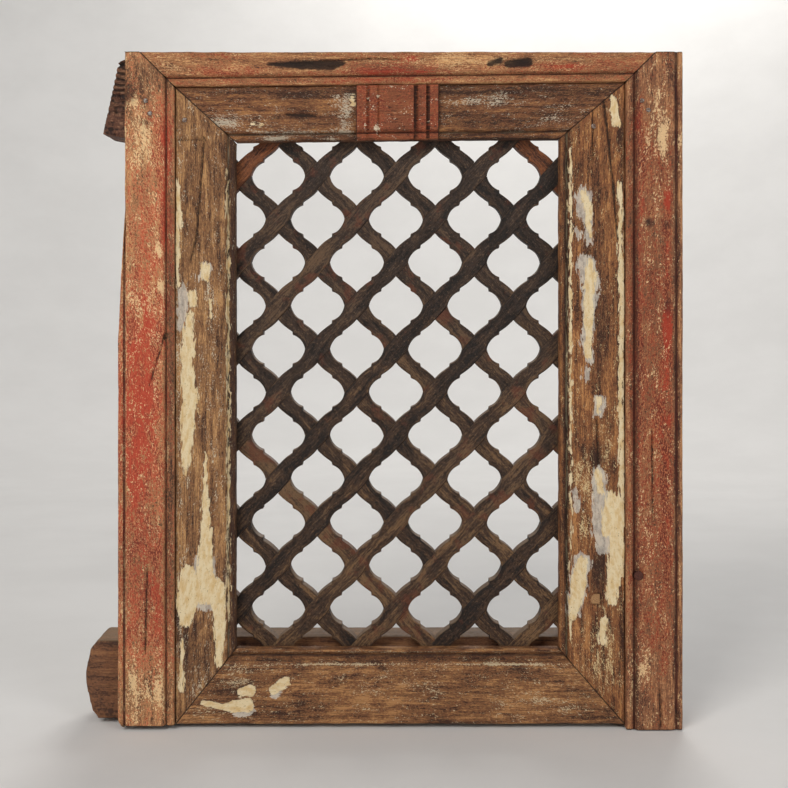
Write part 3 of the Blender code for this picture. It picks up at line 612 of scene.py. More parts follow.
# %% Cracks, gouges and holes
CRACK_MARKS = {
    "inner_left_stile": [
        [(176.8, 129.6, 0.9)],
        [(194.3, 105, 0.9)],
        [(204, 137, 0.7), (201, 180, 0.6), (196, 240, 0.7), (190, 262, 0.5)],
        [(178, 140, 0.5), (205, 140, 0.5)],
    ],
    "inner_right_stile": [
        [(603, 97, 0.9), (608, 134, 1.0), (613, 184, 0.8), (618, 240, 0.5)],
        [(593, 108, 0.4), (593, 160, 0.4)],
        [(597, 420, 0.4), (598, 465, 0.5)],
    ],
    "outer_left_stile": [
        [(166, 334, 0.6), (157, 360, 0.7), (149, 386, 0.5)],
        [(147, 570, 0.5), (146, 610, 0.8), (145, 655, 0.5)],
    ],
    "inner_top_rail": [[(286, 114.5, 0.8), (300, 115, 1.8), (316, 116, 0.8)]],
    "centre_block": [
        [(368, 88, 0.2), (368, 130, 0.3)],
        [(416, 86, 0.9), (415.7, 139, 0.9)],
        [(428, 86, 0.7), (428, 139, 0.7)],
    ],
    "outer_top_rail": [[(322, 61, 0.4), (345, 60, 0.5), (375, 58.5, 0.3), (400, 59.5, 0.2)]],
    "outer_right_stile": [[(652, 430, 0.4), (653, 520, 0.4)], [(660, 690, 0.5), (661, 728, 0.8)]],
}
GOUGE_MARKS = {
    "outer_top_rail": [
        [(268, 64, 1.5), (300, 65, 4.5), (332, 65, 5.5), (344, 63, 2)],
        [(490, 64, 3), (500, 60, 3)],
        [(508, 64, 4), (528, 62, 5)],
    ],
}
PEG_HOLES = {
    "outer_right_stile": [[(639.1, 575.4, 5.4)]],
    "inner_right_stile": [[(597.5, 600, 6.2)]],
}
print(sum(len(chains) for chains in CRACK_MARKS.values()), "cracks,", len(PEG_HOLES), "holes")

# %% [markdown]
# A board's relief is added along its normals. It has four parts: long undulations,
# fine ridges along the grain, rubbed arrises, and the marks with places of their
# own. A sculpted mesh could show the same, but not follow a change of size.

# %% Boards
FRONT_END = 9 * MM
FRONT_FADE = 4 * MM
END_FADE = 4 * MM
SWELL = 0.5 * MM
RIDGES = 0.28 * MM
RUBBING = 2.2 * MM
SKIN_SINKAGE = 0.25 * MM
PROUD = 0.3 * MM
HOLE_DEPTH = 3 * MM
CRACK_DEPTH = 2.5 * MM
GOUGE_DEPTH = 3.5 * MM
PAINT_THICKNESS = 0.35 * MM
MITRE_ROUNDING = 0.9 * MM
MARKS = {"cream": CREAM_MARKS, "grey": GREY_MARKS, "crack": CRACK_MARKS, "gouge": GOUGE_MARKS}
LEVELS = {"red": RED_LEVEL, "pale": PALE_LEVEL, "tone": TONE_LEVEL}


def board_fields(node, places, bend, face_y):
    """The numbers that the materials read at each point, from its place in the photograph.

    The front is 1 near the face and falls to 0 at FRONT_END behind it. The peg's
    hole is only for the relief, so it comes back on its own.
    """
    px, py = photo_pixels(places[..., 0], places[..., 2], face_y)
    fields = {field: marks_field(px, py, table.get(node, [])) for field, table in MARKS.items()}
    fields |= {field: soft_field(px, py, *table.get(node, (0, []))) for field, table in LEVELS.items()}
    fields["bend"] = np.broadcast_to(bend, px.shape)
    fields["front"] = np.clip((face_y + FRONT_END - places[..., 1]) / FRONT_FADE, 0, 1)
    return fields, marks_field(px, py, PEG_HOLES.get(node, []))


def board_relief(u, v, fields, hole, from_end, seed):
    """How far each point moves along its normal: the reliefs added up, and none of it outward.

    u and v are the lengths along and across the grain, stretched by two factors for
    each noise. A crack is a bell curve of the distance from its line. Near a mitre
    the relief fades, and the arris of the joint is rounded off.
    """
    swell = layered_noise(u * 7, v * 25, seed, 3) * SWELL
    ridges = layered_noise(u * 30, v * 420, seed + 1, 3) * RIDGES
    wear = np.clip(layered_noise(u * 45, v * 4, seed + 2, 4) + 0.25, 0, 1)
    rubbed = -np.clip(fields["bend"], 0, 1) * wear * RUBBING
    crack = -CRACK_DEPTH * np.exp(-((1.5 * np.clip(-fields["crack"], 0, 20)) ** 2))
    torn = 0.5 + 0.5 * layered_noise(u * 60, v * 300, seed + 3, 3)
    gouge = -GOUGE_DEPTH * np.clip(fields["gouge"] / 3, 0, 1) * torn
    paint = PAINT_THICKNESS * np.clip(np.maximum(fields["cream"], fields["grey"]) + 0.5, 0, 1)
    sunk = -HOLE_DEPTH * np.clip(hole + 0.5, 0, 1)
    relief = swell + ridges + rubbed + (crack + gouge + paint + sunk) * fields["front"]
    relief = np.where(fields["front"] > 0, relief, relief * 0.5)
    relief = relief * (0.3 + 0.7 * np.clip(from_end / END_FADE, 0, 1)) - SKIN_SINKAGE
    return np.minimum(relief, 0.0) - MITRE_ROUNDING * np.clip(1 - from_end / END_ROWS[2], 0, 1) ** 2


def row_shares(length, step):
    """Shares of a length for the rows of a grid: even steps, and finer ones at both ends."""
    near = np.array(END_ROWS) / length
    count = max(2, round(length / step))
    middle = np.linspace(near[-1], 1 - near[-1], count)[1:-1]
    return np.concatenate([near, middle, 1 - near[::-1]])[:, None, None]


def make_board(name, node, starts, ends, seed, trim=None, cut=None, step=STATION_STEP):
    """A board with its relief, standing for a solid of the frame."""
    low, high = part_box(node)
    starts, ends = refined(starts, ends, high[1] - low[1])
    if cut:
        cut(ends)
    length = np.linalg.norm(ends[:, :2] - starts[:, :2], axis=1).max()
    share = row_shares(length, step)
    runs = starts + share * (ends - starts)
    places = np.stack([runs[..., 0], high[1] - runs[..., 2], runs[..., 1]], axis=-1)
    ring = np.linalg.norm(np.roll(starts, -1, axis=0) - starts, axis=1)
    along = np.broadcast_to(share[..., 0] * length, places.shape[:2])
    around = np.broadcast_to(np.concatenate([[0], np.cumsum(ring)]), (len(places), len(ring) + 1))
    if trim:
        trim(places)
    fields, hole = board_fields(node, places, bend_of(starts), low[1])
    from_end = np.minimum(share[..., 0], 1 - share[..., 0]) * length
    relief = board_relief(along, around[:, :-1], fields, hole, from_end, seed)
    fields["joint"] = np.broadcast_to(from_end, along.shape) / MM
    places = places + grid_normals(places) * relief[..., None]
    places[..., 1] = np.clip(places[..., 1], low[1] - PROUD, high[1])
    piece = closed_tube(name, places, along + seed * 1.7, around + seed * 0.37, fields)
    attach(piece, "root")
    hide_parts(node)
    print(name, len(piece.data.polygons), "faces, box off by", box_difference(piece, node), "mm")
    return piece


def read_points(mesh):
    """The points of a mesh, as one array."""
    spots = np.empty(len(mesh.vertices) * 3, np.float32)
    mesh.vertices.foreach_get("co", spots)
    return spots.reshape(-1, 3).astype(float)


def box_difference(piece, node):
    """The largest difference between the boxes of a piece and of the solid it stands for, in mm."""
    spots = read_points(piece.data)
    low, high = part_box(node)
    return round(float(max(abs(spots.min(0) - low).max(), abs(spots.max(0) - high).max())) / MM, 2)


CASING_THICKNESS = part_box("outer_left_stile")[1][1] - FACE_Y
LINING_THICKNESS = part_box("inner_left_stile")[1][1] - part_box("inner_left_stile")[0][1]
boards = {}

lining_section = bead_section(LINING_BEAD, LINING_THICKNESS) + plain_end(LINING_THICKNESS, 1 * MM)
foot_section = cove_section(LINING_THICKNESS) + plain_end(LINING_THICKNESS, 2 * MM)
LININGS = [
    ("lining_left", "inner_left_stile", "foot_left", "top_left", lining_section),
    ("lining_right", "inner_right_stile", "foot_right", "top_right", lining_section),
    ("lining_top", "inner_top_rail", "top_left", "top_right", lining_section),
    ("lining_foot", "inner_bottom_rail", "foot_left", "foot_right", foot_section),
]
for seed, (name, node, begin, end, section) in enumerate(LININGS, start=1):
    starts, ends = runs_of(section, (OPEN[begin], OPEN[end]), (JOINT[begin], JOINT[end]))
    boards[name] = make_board(name, node, starts, ends, seed)

# %% [markdown]
# The casing has two stiles and a top rail. Each stile's upper end is mitred only as
# far as the top edge, and cut flat beyond it. The left stile has lost its outer
# edge in its upper half: there the points past the worn line are drawn in to it.

# %% Casing
casing_bead = bead_section(CASING_BEAD, CASING_THICKNESS)
stile_section = casing_bead + grooved_end(CASING_THICKNESS)
rail_section = casing_bead + plain_end(CASING_THICKNESS, 2.5 * MM)
WORN_FROM, WORN_TO = joint_foot + 510 * MM, joint_foot + 690 * MM
WORN_DEPTH = 11 * MM
FOOT_ROUNDING = 10 * MM


def cut_stile_tops(ends, joint, mitre_end):
    """Lowers the upper ends to the mitre: the height climbs from the joint's corner to the top edge."""
    share = (ends[:, 0] - joint[0]) / (mitre_end[0] - joint[0])
    ends[:, 1] = np.minimum(casing_top, joint[1] + share * (mitre_end[1] - joint[1]))


def worn_edge(places):
    """Draws the outer edge of the left stile in, from a line that slants in its upper half.

    At the foot the line is a quarter circle. Points past it keep a fiftieth of
    their distance, so the edge stays a surface.
    """
    z = places[..., 2]
    lost = np.interp(z, [WORN_FROM, WORN_TO], [0, WORN_DEPTH])
    foot = np.clip(FOOT_ROUNDING - (z - joint_foot), 0, None)
    lost = np.maximum(lost, FOOT_ROUNDING - np.sqrt(np.clip(FOOT_ROUNDING**2 - foot**2, 0, None)))
    wobble = layered_noise(z * 40, z * 0, 5, 4) * 0.6 * MM
    limit = casing_left + lost + np.clip(wobble, 0, None)
    inside = places[..., 0] - limit
    places[..., 0] = np.where(inside < 0, limit + inside * 0.02, places[..., 0])


STILES = [
    ("casing_left", "outer_left_stile", JOINT["top_left"], casing_left, joint_foot, mitre_left, worn_edge),
    ("casing_right", "outer_right_stile", JOINT["top_right"], casing_right, right_foot, mitre_right, None),
]
for seed, (name, node, joint, edge, foot, mitre_end, trim) in enumerate(STILES, start=6):
    inner_line = ((joint[0], foot), (joint[0], casing_top))
    outer_line = ((edge, foot), (edge, casing_top))
    starts, ends = runs_of(stile_section, inner_line, outer_line)
    cut = functools.partial(cut_stile_tops, joint=joint, mitre_end=mitre_end)
    boards[name] = make_board(name, node, starts, ends, seed, trim, cut)

starts, ends = runs_of(rail_section, (JOINT["top_left"], JOINT["top_right"]), (mitre_left, mitre_right))
boards["casing_top"] = make_board("casing_top", "outer_top_rail", starts, ends, 8)

# %% [markdown]
# The block in the middle of the top rail is a short piece of the same moulding,
# standing prouder. Its reeds are cut across the bead: fine grooves run from top to
# bottom at even distances from each side, and one of them has worn wide.

# %% Centre block
BLOCK_REED = 15 * MM
BLOCK_GROOVE = 1.1 * MM
BLOCK_DEPTHS = (2.2 * MM, 2.6 * MM)
WORN_WIDE = 2.2
BLOCK_FRONT = 8 * MM
block_low, block_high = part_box("centre_block")


def block_grooves(places):
    """Sinks the face beside each reed: a groove is a bell curve of x, 2 to 3 mm deep."""
    x, y = places[..., 0], places[..., 1]
    sunk = np.zeros_like(x)
    for side in (-1, 1):
        for reed, depth in enumerate(BLOCK_DEPTHS, start=1):
            middle = side * ((block_high[0] - block_low[0]) / 2 - reed * BLOCK_REED)
            width = BLOCK_GROOVE * (WORN_WIDE if side > 0 and reed == 2 else 1)
            sunk = np.maximum(sunk, depth * np.exp(-(((x - middle) / width) ** 2)))
    places[..., 1] = np.where(y < block_low[1] + BLOCK_FRONT, y + sunk, y)


block_thickness = block_high[1] - block_low[1]
block_section = bead_section(LINING_BEAD, block_thickness) + plain_end(block_thickness, 1 * MM)
block_open = [(x, open_top_left + climb * (x - open_left)) for x in (block_low[0], block_high[0])]
block_joint = [(x, joint_top_left + climb * (x - joint_left)) for x in (block_low[0], block_high[0])]
starts, ends = runs_of(block_section, block_open, block_joint)
boards["block"] = make_board("block", "centre_block", starts, ends, 9, block_grooves, step=1 * MM)

# %% [markdown]
# The lattice is two sets of parallel slats, halved into each other. The climbing
# slats run unbroken in front, and the falling ones are cut away in front at each
# crossing. Every edge has the same carving between crossings: a swelling shoulder,
# a small tooth and a round hollow. Together, four edges draw an onion-shaped opening.
# The sections are cut parallel to the other set, so a lap ends exactly on a section.

# %% Lattice measures
STEP_ACROSS = 53.5 * MM
STEP_UP = 59 * MM
LATTICE_CENTRE = -2 * MM
FIRST_CROSSING = 43 * MM
SLAT_HALF = 12.5 * MM
LAP_GAP = 0.3 * MM
SHOULDER = 3.6 * MM
TOOTH = 0.8 * MM
HOLLOW = 3.9 * MM
SHOULDER_START, SHOULDER_END, TOOTH_END = 0.08, 0.475, 0.535
SLAT_STATION = 1.7 * MM
SLAT_ARRIS = 1.1 * MM
STEP_LENGTH = math.hypot(STEP_ACROSS, STEP_UP)

slat_nodes = [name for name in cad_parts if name.startswith("slat_")]
lattice_low = np.min([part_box(name)[0] for name in slat_nodes], axis=0)
lattice_high = np.max([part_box(name)[1] for name in slat_nodes], axis=0)
print(len(slat_nodes), "slats in", np.round(lattice_high - lattice_low, 4))


def carved_depth(distance):
    """How far an edge is cut in, at a distance from a crossing's centre.

    The distance is taken within one step and made a share of the free length
    between the corners. The shoulder grows as share^1.6, the tooth is a straight
    slope, and the hollow is the sine of the remaining share to the power 0.7.
    """
    far = SLAT_HALF * STEP_UP / STEP_ACROSS
    near = SLAT_HALF * STEP_ACROSS / STEP_UP
    share = (np.mod(distance, STEP_LENGTH) - far) / (STEP_LENGTH - far - near)
    shoulder = SHOULDER * np.clip((share - SHOULDER_START) / (SHOULDER_END - SHOULDER_START), 0, 1) ** 1.6
    slope = np.clip((share - SHOULDER_END) / (TOOTH_END - SHOULDER_END), 0, 1)
    tooth = SHOULDER + (TOOTH - SHOULDER) * slope
    rest = np.clip((share - TOOTH_END) / (1 - TOOTH_END), 0, 1)
    hollow = TOOTH * (1 - rest) + HOLLOW * np.sin(math.pi * rest) ** 0.7
    depth = np.where(share < SHOULDER_END, shoulder, np.where(share < TOOTH_END, tooth, hollow))
    return np.where((share < 0) | (share > 1), 0.0, depth)


# %% [markdown]
# A slat's section is a ring of points: a row across the front, the softened arris
# and the side down to the back, the back, and the other side up again. Depths are
# counted from the front for the front half of the ring and from the back for the
# rest, so a lap only moves one of the two. Bisecting then cuts the ends square.

# %% Slats
FRONT_COLUMNS = 11
SIDE_CELLS = [(0.7, 0.3, 0), (1, 1, 0), (1, 5, 0), (1, -5, 1), (1, -0.6, 1), (0.4, 0, 1)]
SECTION_CELLS = [(share, 0, 0, 0) for share in np.linspace(-1, 1, FRONT_COLUMNS)]
SECTION_CELLS += [(1, *cell) for cell in SIDE_CELLS] + [(0.4, 0, 0, 1), (-0.4, 0, 0, 1)]
SECTION_CELLS += [(-1, *cell) for cell in reversed(SIDE_CELLS)]
RAGGED_EDGE = 0.35 * MM
SLAT_RIDGES = 0.35 * MM
SLAT_SWELL = 0.3 * MM
SLAT_SINKAGE = 0.5 * MM
SLAT_FRONT = 0.9 * MM
SLAT_ROWS = np.arange(16, -4, -1)


def slat_places(anchor, lean, count, seed):
    """Ring points of one slat: its stations along, and the section round it.

    A point lies at anchor + along * (s + k t) + across * t, where t is its distance
    from the middle line, and k slants each section parallel to the other slats. A
    cell of the section is (share of the half width, arrises outward, arrises deep,
    0 from the front or 1 from the back).
    """
    along = np.array((lean * STEP_ACROSS, STEP_UP)) / STEP_LENGTH
    other = np.array((-lean * STEP_ACROSS, STEP_UP)) / STEP_LENGTH
    across = np.array((-along[1], along[0])) * lean
    k = (other @ along) / (other @ across)
    lap = (SLAT_HALF + LAP_GAP) / abs(along[0] * other[1] - along[1] * other[0])
    plain = np.arange(0, count * STEP_LENGTH, SLAT_STATION)
    laps = (np.arange(count + 1)[:, None] * STEP_LENGTH + np.array((-lap, -lap, lap, lap))).ravel()
    inside = np.tile((0, 1, 1, 0), count + 1)
    s = np.concatenate([plain, laps])
    from_centre = np.abs(np.mod(plain + STEP_LENGTH / 2, STEP_LENGTH) - STEP_LENGTH / 2)
    in_lap = np.concatenate([from_centre < lap, inside])
    # a tiny shift orders the two sections that share a lap's edge
    order = np.argsort(s + 1e-7 * np.concatenate([plain * 0, np.tile((-1, 1, -1, 1), count + 1)]))
    s, in_lap = s[order][:, None], in_lap[order][:, None].astype(bool)
    upper = SLAT_HALF - carved_depth(s + k * SLAT_HALF)
    lower = SLAT_HALF - carved_depth(count * STEP_LENGTH - s + k * SLAT_HALF)
    ragged = layered_noise(s * 90, s * 0 + seed, seed, 3) * RAGGED_EDGE
    upper, lower = upper + ragged, lower + np.roll(ragged, 40, axis=0)
    thickness = lattice_high[1] - lattice_low[1]
    front = np.where(in_lap & (lean < 0), thickness / 2 + LAP_GAP / 2, 0.0)
    back = np.where(in_lap & (lean > 0), thickness / 2 - LAP_GAP / 2, thickness)
    offsets, depths = [], []
    for share, outward, deep, behind in SECTION_CELLS:
        half = upper if share > 0 else lower
        offsets.append((half - SLAT_ARRIS) * share + math.copysign(SLAT_ARRIS * outward, share))
        depths.append((back if behind else front) + deep * SLAT_ARRIS)
    t, deep = np.concatenate(offsets, axis=1), np.concatenate(depths, axis=1)
    spots = anchor + (s + k * t)[..., None] * along + t[..., None] * across
    places = np.stack([spots[..., 0], lattice_low[1] + deep, spots[..., 1]], axis=-1)
    return places, np.broadcast_to(s, t.shape), t


@contextlib.contextmanager
def editing(mesh):
    """Opens a mesh for bmesh's tools and writes the result back."""
    body = bmesh.new()
    body.from_mesh(mesh)
    yield body
    body.to_mesh(mesh)
    body.free()


def cut_to_lattice(piece):
    """Cuts a slat off at the four sides of the lattice, and closes its ends."""
    with editing(piece.data) as body:
        for axis, sign in ((0, -1), (0, 1), (2, -1), (2, 1)):
            spot = lattice_high if sign > 0 else lattice_low
            outward = [0, 0, 0]
            outward[axis] = sign
            parts = body.verts[:] + body.edges[:] + body.faces[:]
            cut = bmesh.ops.bisect_plane(body, geom=parts, plane_co=spot, plane_no=outward, clear_outer=True)
            rim = [item for item in cut["geom_cut"] if isinstance(item, bmesh.types.BMEdge)]
            bmesh.ops.edgeloop_fill(body, edges=rim)


def middle_of(node):
    """The middle of a solid's box."""
    return np.mean(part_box(node), axis=0)


def make_slat(node):
    """One slat, standing for its solid. Its line is found from the solid's middle."""
    low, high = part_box(node)
    middle = middle_of(node)
    lean = 1 if "climbing" in node else -1
    first_z = OPENING_TOP_Z - FIRST_CROSSING
    column, row = (middle[0] - LATTICE_CENTRE) / STEP_ACROSS, (first_z - middle[2]) / STEP_UP
    x = (2 * round((column + lean * row) / 2) - lean * SLAT_ROWS) * STEP_ACROSS
    near = np.abs(x) < high[0] - low[0] + 4 * STEP_ACROSS
    near &= (x > low[0] - 2 * STEP_ACROSS) & (x < high[0] + 2 * STEP_ACROSS)
    rows = SLAT_ROWS[near]
    start = np.array((LATTICE_CENTRE + x[near][0], first_z - rows[0] * STEP_UP))
    seed = int(node[-2:]) + (20 if lean > 0 else 50)
    places, along, t = slat_places(start, lean, len(rows) - 1, seed)
    fields = {"shade": np.full(t.shape, value_noise(seed, 0.5, 3))}
    relief = layered_noise(along * 25, t * 260 + seed, seed, 3) * SLAT_RIDGES
    relief += layered_noise(along * 60, t * 60 + seed, seed + 1, 2) * SLAT_SWELL
    y = places[..., 1]
    sunk = y + np.clip(SLAT_SINKAGE + relief, 0, None)
    places[..., 1] = np.where(y < lattice_low[1] + SLAT_FRONT, sunk, y)
    ring = np.linalg.norm(np.diff(places[5], axis=0, append=places[5][:1]), axis=1)
    around = np.broadcast_to(np.concatenate([[0], np.cumsum(ring)]), (len(places), len(ring) + 1))
    name = node.replace("slat", "lattice")
    piece = closed_tube(name, places, along + seed * 1.3, around + seed * 0.21, fields)
    cut_to_lattice(piece)
    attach(piece, "root")
    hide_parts(node)
    return piece


slats = [make_slat(node) for node in slat_nodes]
print(sum(len(piece.data.polygons) for piece in slats), "faces in the slats")
for piece, node in zip(slats[:3], slat_nodes):
    print(piece.name, "box off by", box_difference(piece, node), "mm")

# %% [markdown]
# The heavy beams behind show little of themselves: two horns at the left, the sill
# under the lattice, and everything from behind. Adzed timber has soft corners and a
# rippled face. A voxel remesh of the solid gives an even skin, mortises and all,
# and numpy then moves its points along their normals.

# %% Beams and jambs
HORN_LENGTH = 45 * MM
HORN_SKIN = 6 * MM
CARVING_DEPTH = 3 * MM
CARVING_PERIOD = 8 * MM
NECK_PX, CURLS_PX, FOOT_PX, CASING_PX = 64.8, 92, 118, 129
ADZE_RIPPLES = 1.1 * MM
BEAM_RIDGES = 0.5 * MM
SPLIT_DEPTH = 2.5 * MM


def even_skin(node, voxel):
    """A copy of a solid's mesh, merged and remeshed to even faces of about one voxel."""
    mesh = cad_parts[node].data.copy()
    with editing(mesh) as body:
        bmesh.ops.remove_doubles(body, verts=body.verts[:], dist=0.01 * MM)
    mesh.materials.clear()
    piece = add_object(node + "_timber", mesh)
    remesh = piece.modifiers.new("even", "REMESH")
    remesh.mode = "VOXEL"
    remesh.voxel_size = voxel
    bpy.context.view_layer.update()
    evaluated = piece.evaluated_get(bpy.context.evaluated_depsgraph_get())
    skin = bpy.data.meshes.new_from_object(evaluated)
    piece.modifiers.clear()
    piece.data = skin
    return piece


def refine_horn(piece, node):
    """Halves the faces of the horn's front, so that they can take its carving."""
    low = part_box(node)[0]
    x_end, y_end = low[0] + HORN_LENGTH, low[1] + HORN_SKIN
    with editing(piece.data) as body:
        near = [edge for edge in body.edges if all(v.co.x < x_end and v.co.y < y_end for v in edge.verts)]
        bmesh.ops.subdivide_edges(body, edges=near, cuts=1, use_grid_fill=True)
        bmesh.ops.triangulate(body, faces=[face for face in body.faces if len(face.verts) > 4])


def horn_carving(spots, normals):
    """Grooves on the head's horn: the sine of the height, bent by noise, 3 mm deep in front.

    At its side they are a third as deep. A bell curve of the height cuts the neck
    under the small knob, front and side alike.
    """
    side, front = np.clip(-2 * normals[:, :2] - 0.6, 0, 1).T
    x, z = spots[:, 0], spots[:, 2]
    px, py = photo_pixels(x, z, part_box("head_beam")[0][1])
    bent = z / CARVING_PERIOD + 0.9 * layered_noise(x * 60, z * 40, 3, 3) + x * 30
    groove = (0.5 - 0.5 * np.sin(2 * math.pi * bent)) ** 1.5
    curls = np.clip(layered_noise(x * 220, z * 160, 9, 2) * 1.6, 0, 1)
    mixed = np.where(py < CURLS_PX, groove, 0.5 * groove + 0.6 * curls) * (front + 0.35 * side)
    neck = 1.5 * np.exp(-(((py - NECK_PX) / 1.2) ** 2)) * np.maximum(front, side)
    fade = np.clip((FOOT_PX - py) / 5, 0, 1) * np.clip((CASING_PX - px) / 3, 0, 1)
    return np.maximum(mixed, neck) * fade * CARVING_DEPTH


def make_beam(node, voxel, seed, carving=None):
    """A beam or jamb with the ripples of the adze, long splits and worn arrises."""
    piece = even_skin(node, voxel)
    if carving:
        refine_horn(piece, node)
    spots = read_points(piece.data)
    normals = np.empty(spots.size, np.float32)
    piece.data.vertex_normals.foreach_get("vector", normals)
    normals = normals.reshape(-1, 3).astype(float)
    low, high = (np.array(corner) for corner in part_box(node))
    axis = 0 if high[0] - low[0] > high[2] - low[2] else 2
    along = spots[:, axis]
    side = spots[:, 1] + 0.7 * spots[:, 2 - axis]
    relief = ADZE_RIPPLES * (0.5 + 0.5 * layered_noise(along * 14, side * 40, seed, 3))
    relief += BEAM_RIDGES * (0.5 + 0.5 * layered_noise(along * 30, side * 330, seed + 1, 2))
    split = np.exp(-((layered_noise(along * 6, side * 55, seed + 2, 2) / 0.02) ** 2))
    relief += SPLIT_DEPTH * split * (layered_noise(along * 9, side * 9, seed + 3, 2) > 0.1)
    carved = carving(spots, normals) if carving else np.zeros(len(spots))
    spots -= normals * (relief + carved)[:, None]
    piece.data.vertices.foreach_set("co", np.clip(spots, low, high).astype(np.float32).ravel())
    layer = piece.data.attributes.new("carving", "FLOAT", "POINT")
    layer.data.foreach_set("value", (carved / CARVING_DEPTH).astype(np.float32))
    piece.data.update()
    piece.data.shade_smooth()
    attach(piece, "root")
    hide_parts(node)
    print(piece.name, len(piece.data.polygons), "faces, box off by", box_difference(piece, node), "mm")
    return piece


beams = {
    "head_beam": make_beam("head_beam", 2.6 * MM, 31, horn_carving),
    "sill_beam": make_beam("sill_beam", 3.6 * MM, 37),
    "left_jamb": make_beam("left_jamb", 5 * MM, 41),
    "right_jamb": make_beam("right_jamb", 5 * MM, 43),
}

# %% [markdown]
# Nails and pegs are turned shapes: a profile of (radius, depth) swept once round an
# axis. A forged head isn't a true circle, so its radius varies a little with the
# angle, and each head gets its own irregular dome.

# %% Nails and pegs


def turned(name, node, profile, sides, corners, wobble, seed):
    """A profile of (radius, depth) turned round a solid's middle, from the axis back to the axis.

    The radius is divided by the largest of |cos a| and |sin a| to the power of
    corners, so 0 turns a circle and 1 a square.
    """
    middle = middle_of(node)
    angle = np.arange(sides) / sides * 2 * math.pi
    shape = 1 / np.maximum(np.abs(np.cos(angle)), np.abs(np.sin(angle))) ** corners
    shape = shape * (1 + wobble * value_noise(np.cos(angle) * 1.5, np.sin(angle) * 1.5, seed))
    radius, depth = np.array(profile, float).T[:, :, None] * MM
    uneven = np.where(depth < 0, value_noise(angle * 2, radius / MM, seed + 1) * wobble * 0.5 * MM, 0)
    x = middle[0] + radius * shape * np.cos(angle)
    z = middle[2] + radius * shape * np.sin(angle)
    y = np.broadcast_to(depth, x.shape) + uneven
    places = np.stack([x, y, z], axis=-1)
    along = np.broadcast_to(depth, x.shape)
    around = np.broadcast_to(np.arange(sides + 1) / sides * 0.02, (len(profile), sides + 1))
    piece = closed_tube(name, places, along, around, {})
    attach(piece, "root")
    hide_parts(node)
    return piece


# In millimetres, like the profiles
HEAD_HEIGHT = 1.3
SHANK = 1.5
AXIS = 0.02
fixings = {"nails": [], "pegs": []}
for seed, node in enumerate(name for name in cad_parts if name.startswith("nail_")):
    low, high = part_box(node)
    radius, front, point = (high[0] - low[0]) / 2 / MM, low[1] / MM, high[1] / MM
    face = front + HEAD_HEIGHT
    profile = [(AXIS, front + 0.05), (radius * 0.4, front + 0.1), (radius * 0.75, front + 0.45)]
    profile += [(radius * 0.96, front + 0.85), (radius, face - 0.1), (radius * 0.9, face)]
    profile += [(SHANK, face), (SHANK, face + 8), (SHANK - 0.2, point - 5), (AXIS, point)]
    fixings["nails"].append(turned(node + "_forged", node, profile, 20, 0.0, 0.1, seed + 60))

for node, corners in (("round_peg", 0.0), ("square_peg", 0.92)):
    low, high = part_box(node)
    radius, front, back = (high[0] - low[0]) / 2 / MM, low[1] / MM, high[1] / MM
    profile = [(AXIS, front + 0.5), (radius * 0.35, front + 0.3), (radius * 0.7, front + 0.15)]
    profile += [(radius * 0.9, front + 0.2), (radius * 0.97, front + 0.8), (radius * 0.97, front + 3)]
    profile += [(radius * 0.97, back - 1), (radius * 0.9, back), (AXIS, back)]
    fixings["pegs"].append(turned(node + "_end", node, profile, 32, corners, 0.03, 80))
print(len(fixings["nails"]), "nails,", len(fixings["pegs"]), "pegs")

# %% [markdown]
# Now the finishes. A procedural material is a network of small nodes, and most
# steps in it are the same few: sum, mix, noise, threshold. Helpers keep that short.
# An input is either a number or another node's output, and the helper tells them apart.

# %% Helpers for material nodes


def put(tree, kind, inputs=(), **settings):
    """Adds a node, sets its properties, and fills its inputs by name or by position."""
    node = tree.nodes.new("ShaderNode" + kind)
    for key, value in settings.items():
        setattr(node, key, value)
    pairs = inputs.items() if isinstance(inputs, dict) else enumerate(inputs)
    for key, value in pairs:
        if isinstance(value, bpy.types.NodeSocket):
            tree.links.new(value, node.inputs[key])
        elif value is not None:
            node.inputs[key].default_value = value
    return node


def tree_of(values):
    """The node tree of the first output among some values."""
    return next(value.id_data for value in values if isinstance(value, bpy.types.NodeSocket))


def maths(operation, *values):
    """One step of arithmetic on outputs and numbers, put in the outputs' own tree."""
    return put(tree_of(values), "Math", values, operation=operation).outputs[0]


times = functools.partial(maths, "MULTIPLY")
times_plus = functools.partial(maths, "MULTIPLY_ADD")
minus = functools.partial(maths, "SUBTRACT")
larger = functools.partial(maths, "MAXIMUM")
absolute = functools.partial(maths, "ABSOLUTE")


def ramp(value, low, high, out_low=0.0, out_high=1.0):
    """A smooth step: out_low below low, out_high above high."""
    inputs = {"Value": value, "From Min": low, "From Max": high, "To Min": out_low, "To Max": out_high}
    return put(value.id_data, "MapRange", inputs, interpolation_type="SMOOTHSTEP").outputs[0]


def as_input(value):
    """A colour of three values gets its fourth. Anything else stays as it is."""
    return (*value, 1) if isinstance(value, tuple) else value


def blend(share, first, second):
    """Mixes two colours. A colour is an output or three linear values."""
    inputs = {0: share, 6: as_input(first), 7: as_input(second)}
    return put(share.id_data, "Mix", inputs, data_type="RGBA", clamp_factor=True).outputs[2]


def noise(vector, scale, detail=4.0, rough=0.6, twist=0.0):
    """Fractal noise, about 0 to 1. scale is per metre, one number or one for each axis."""
    scale = scale if isinstance(scale, tuple) else (scale,) * 3
    spread = put(vector.id_data, "Mapping", {"Vector": vector, "Scale": scale}).outputs[0]
    inputs = {"Vector": spread, "Scale": 1.0, "Detail": detail, "Roughness": rough, "Distortion": twist}
    return put(vector.id_data, "TexNoise", inputs).outputs["Fac"]


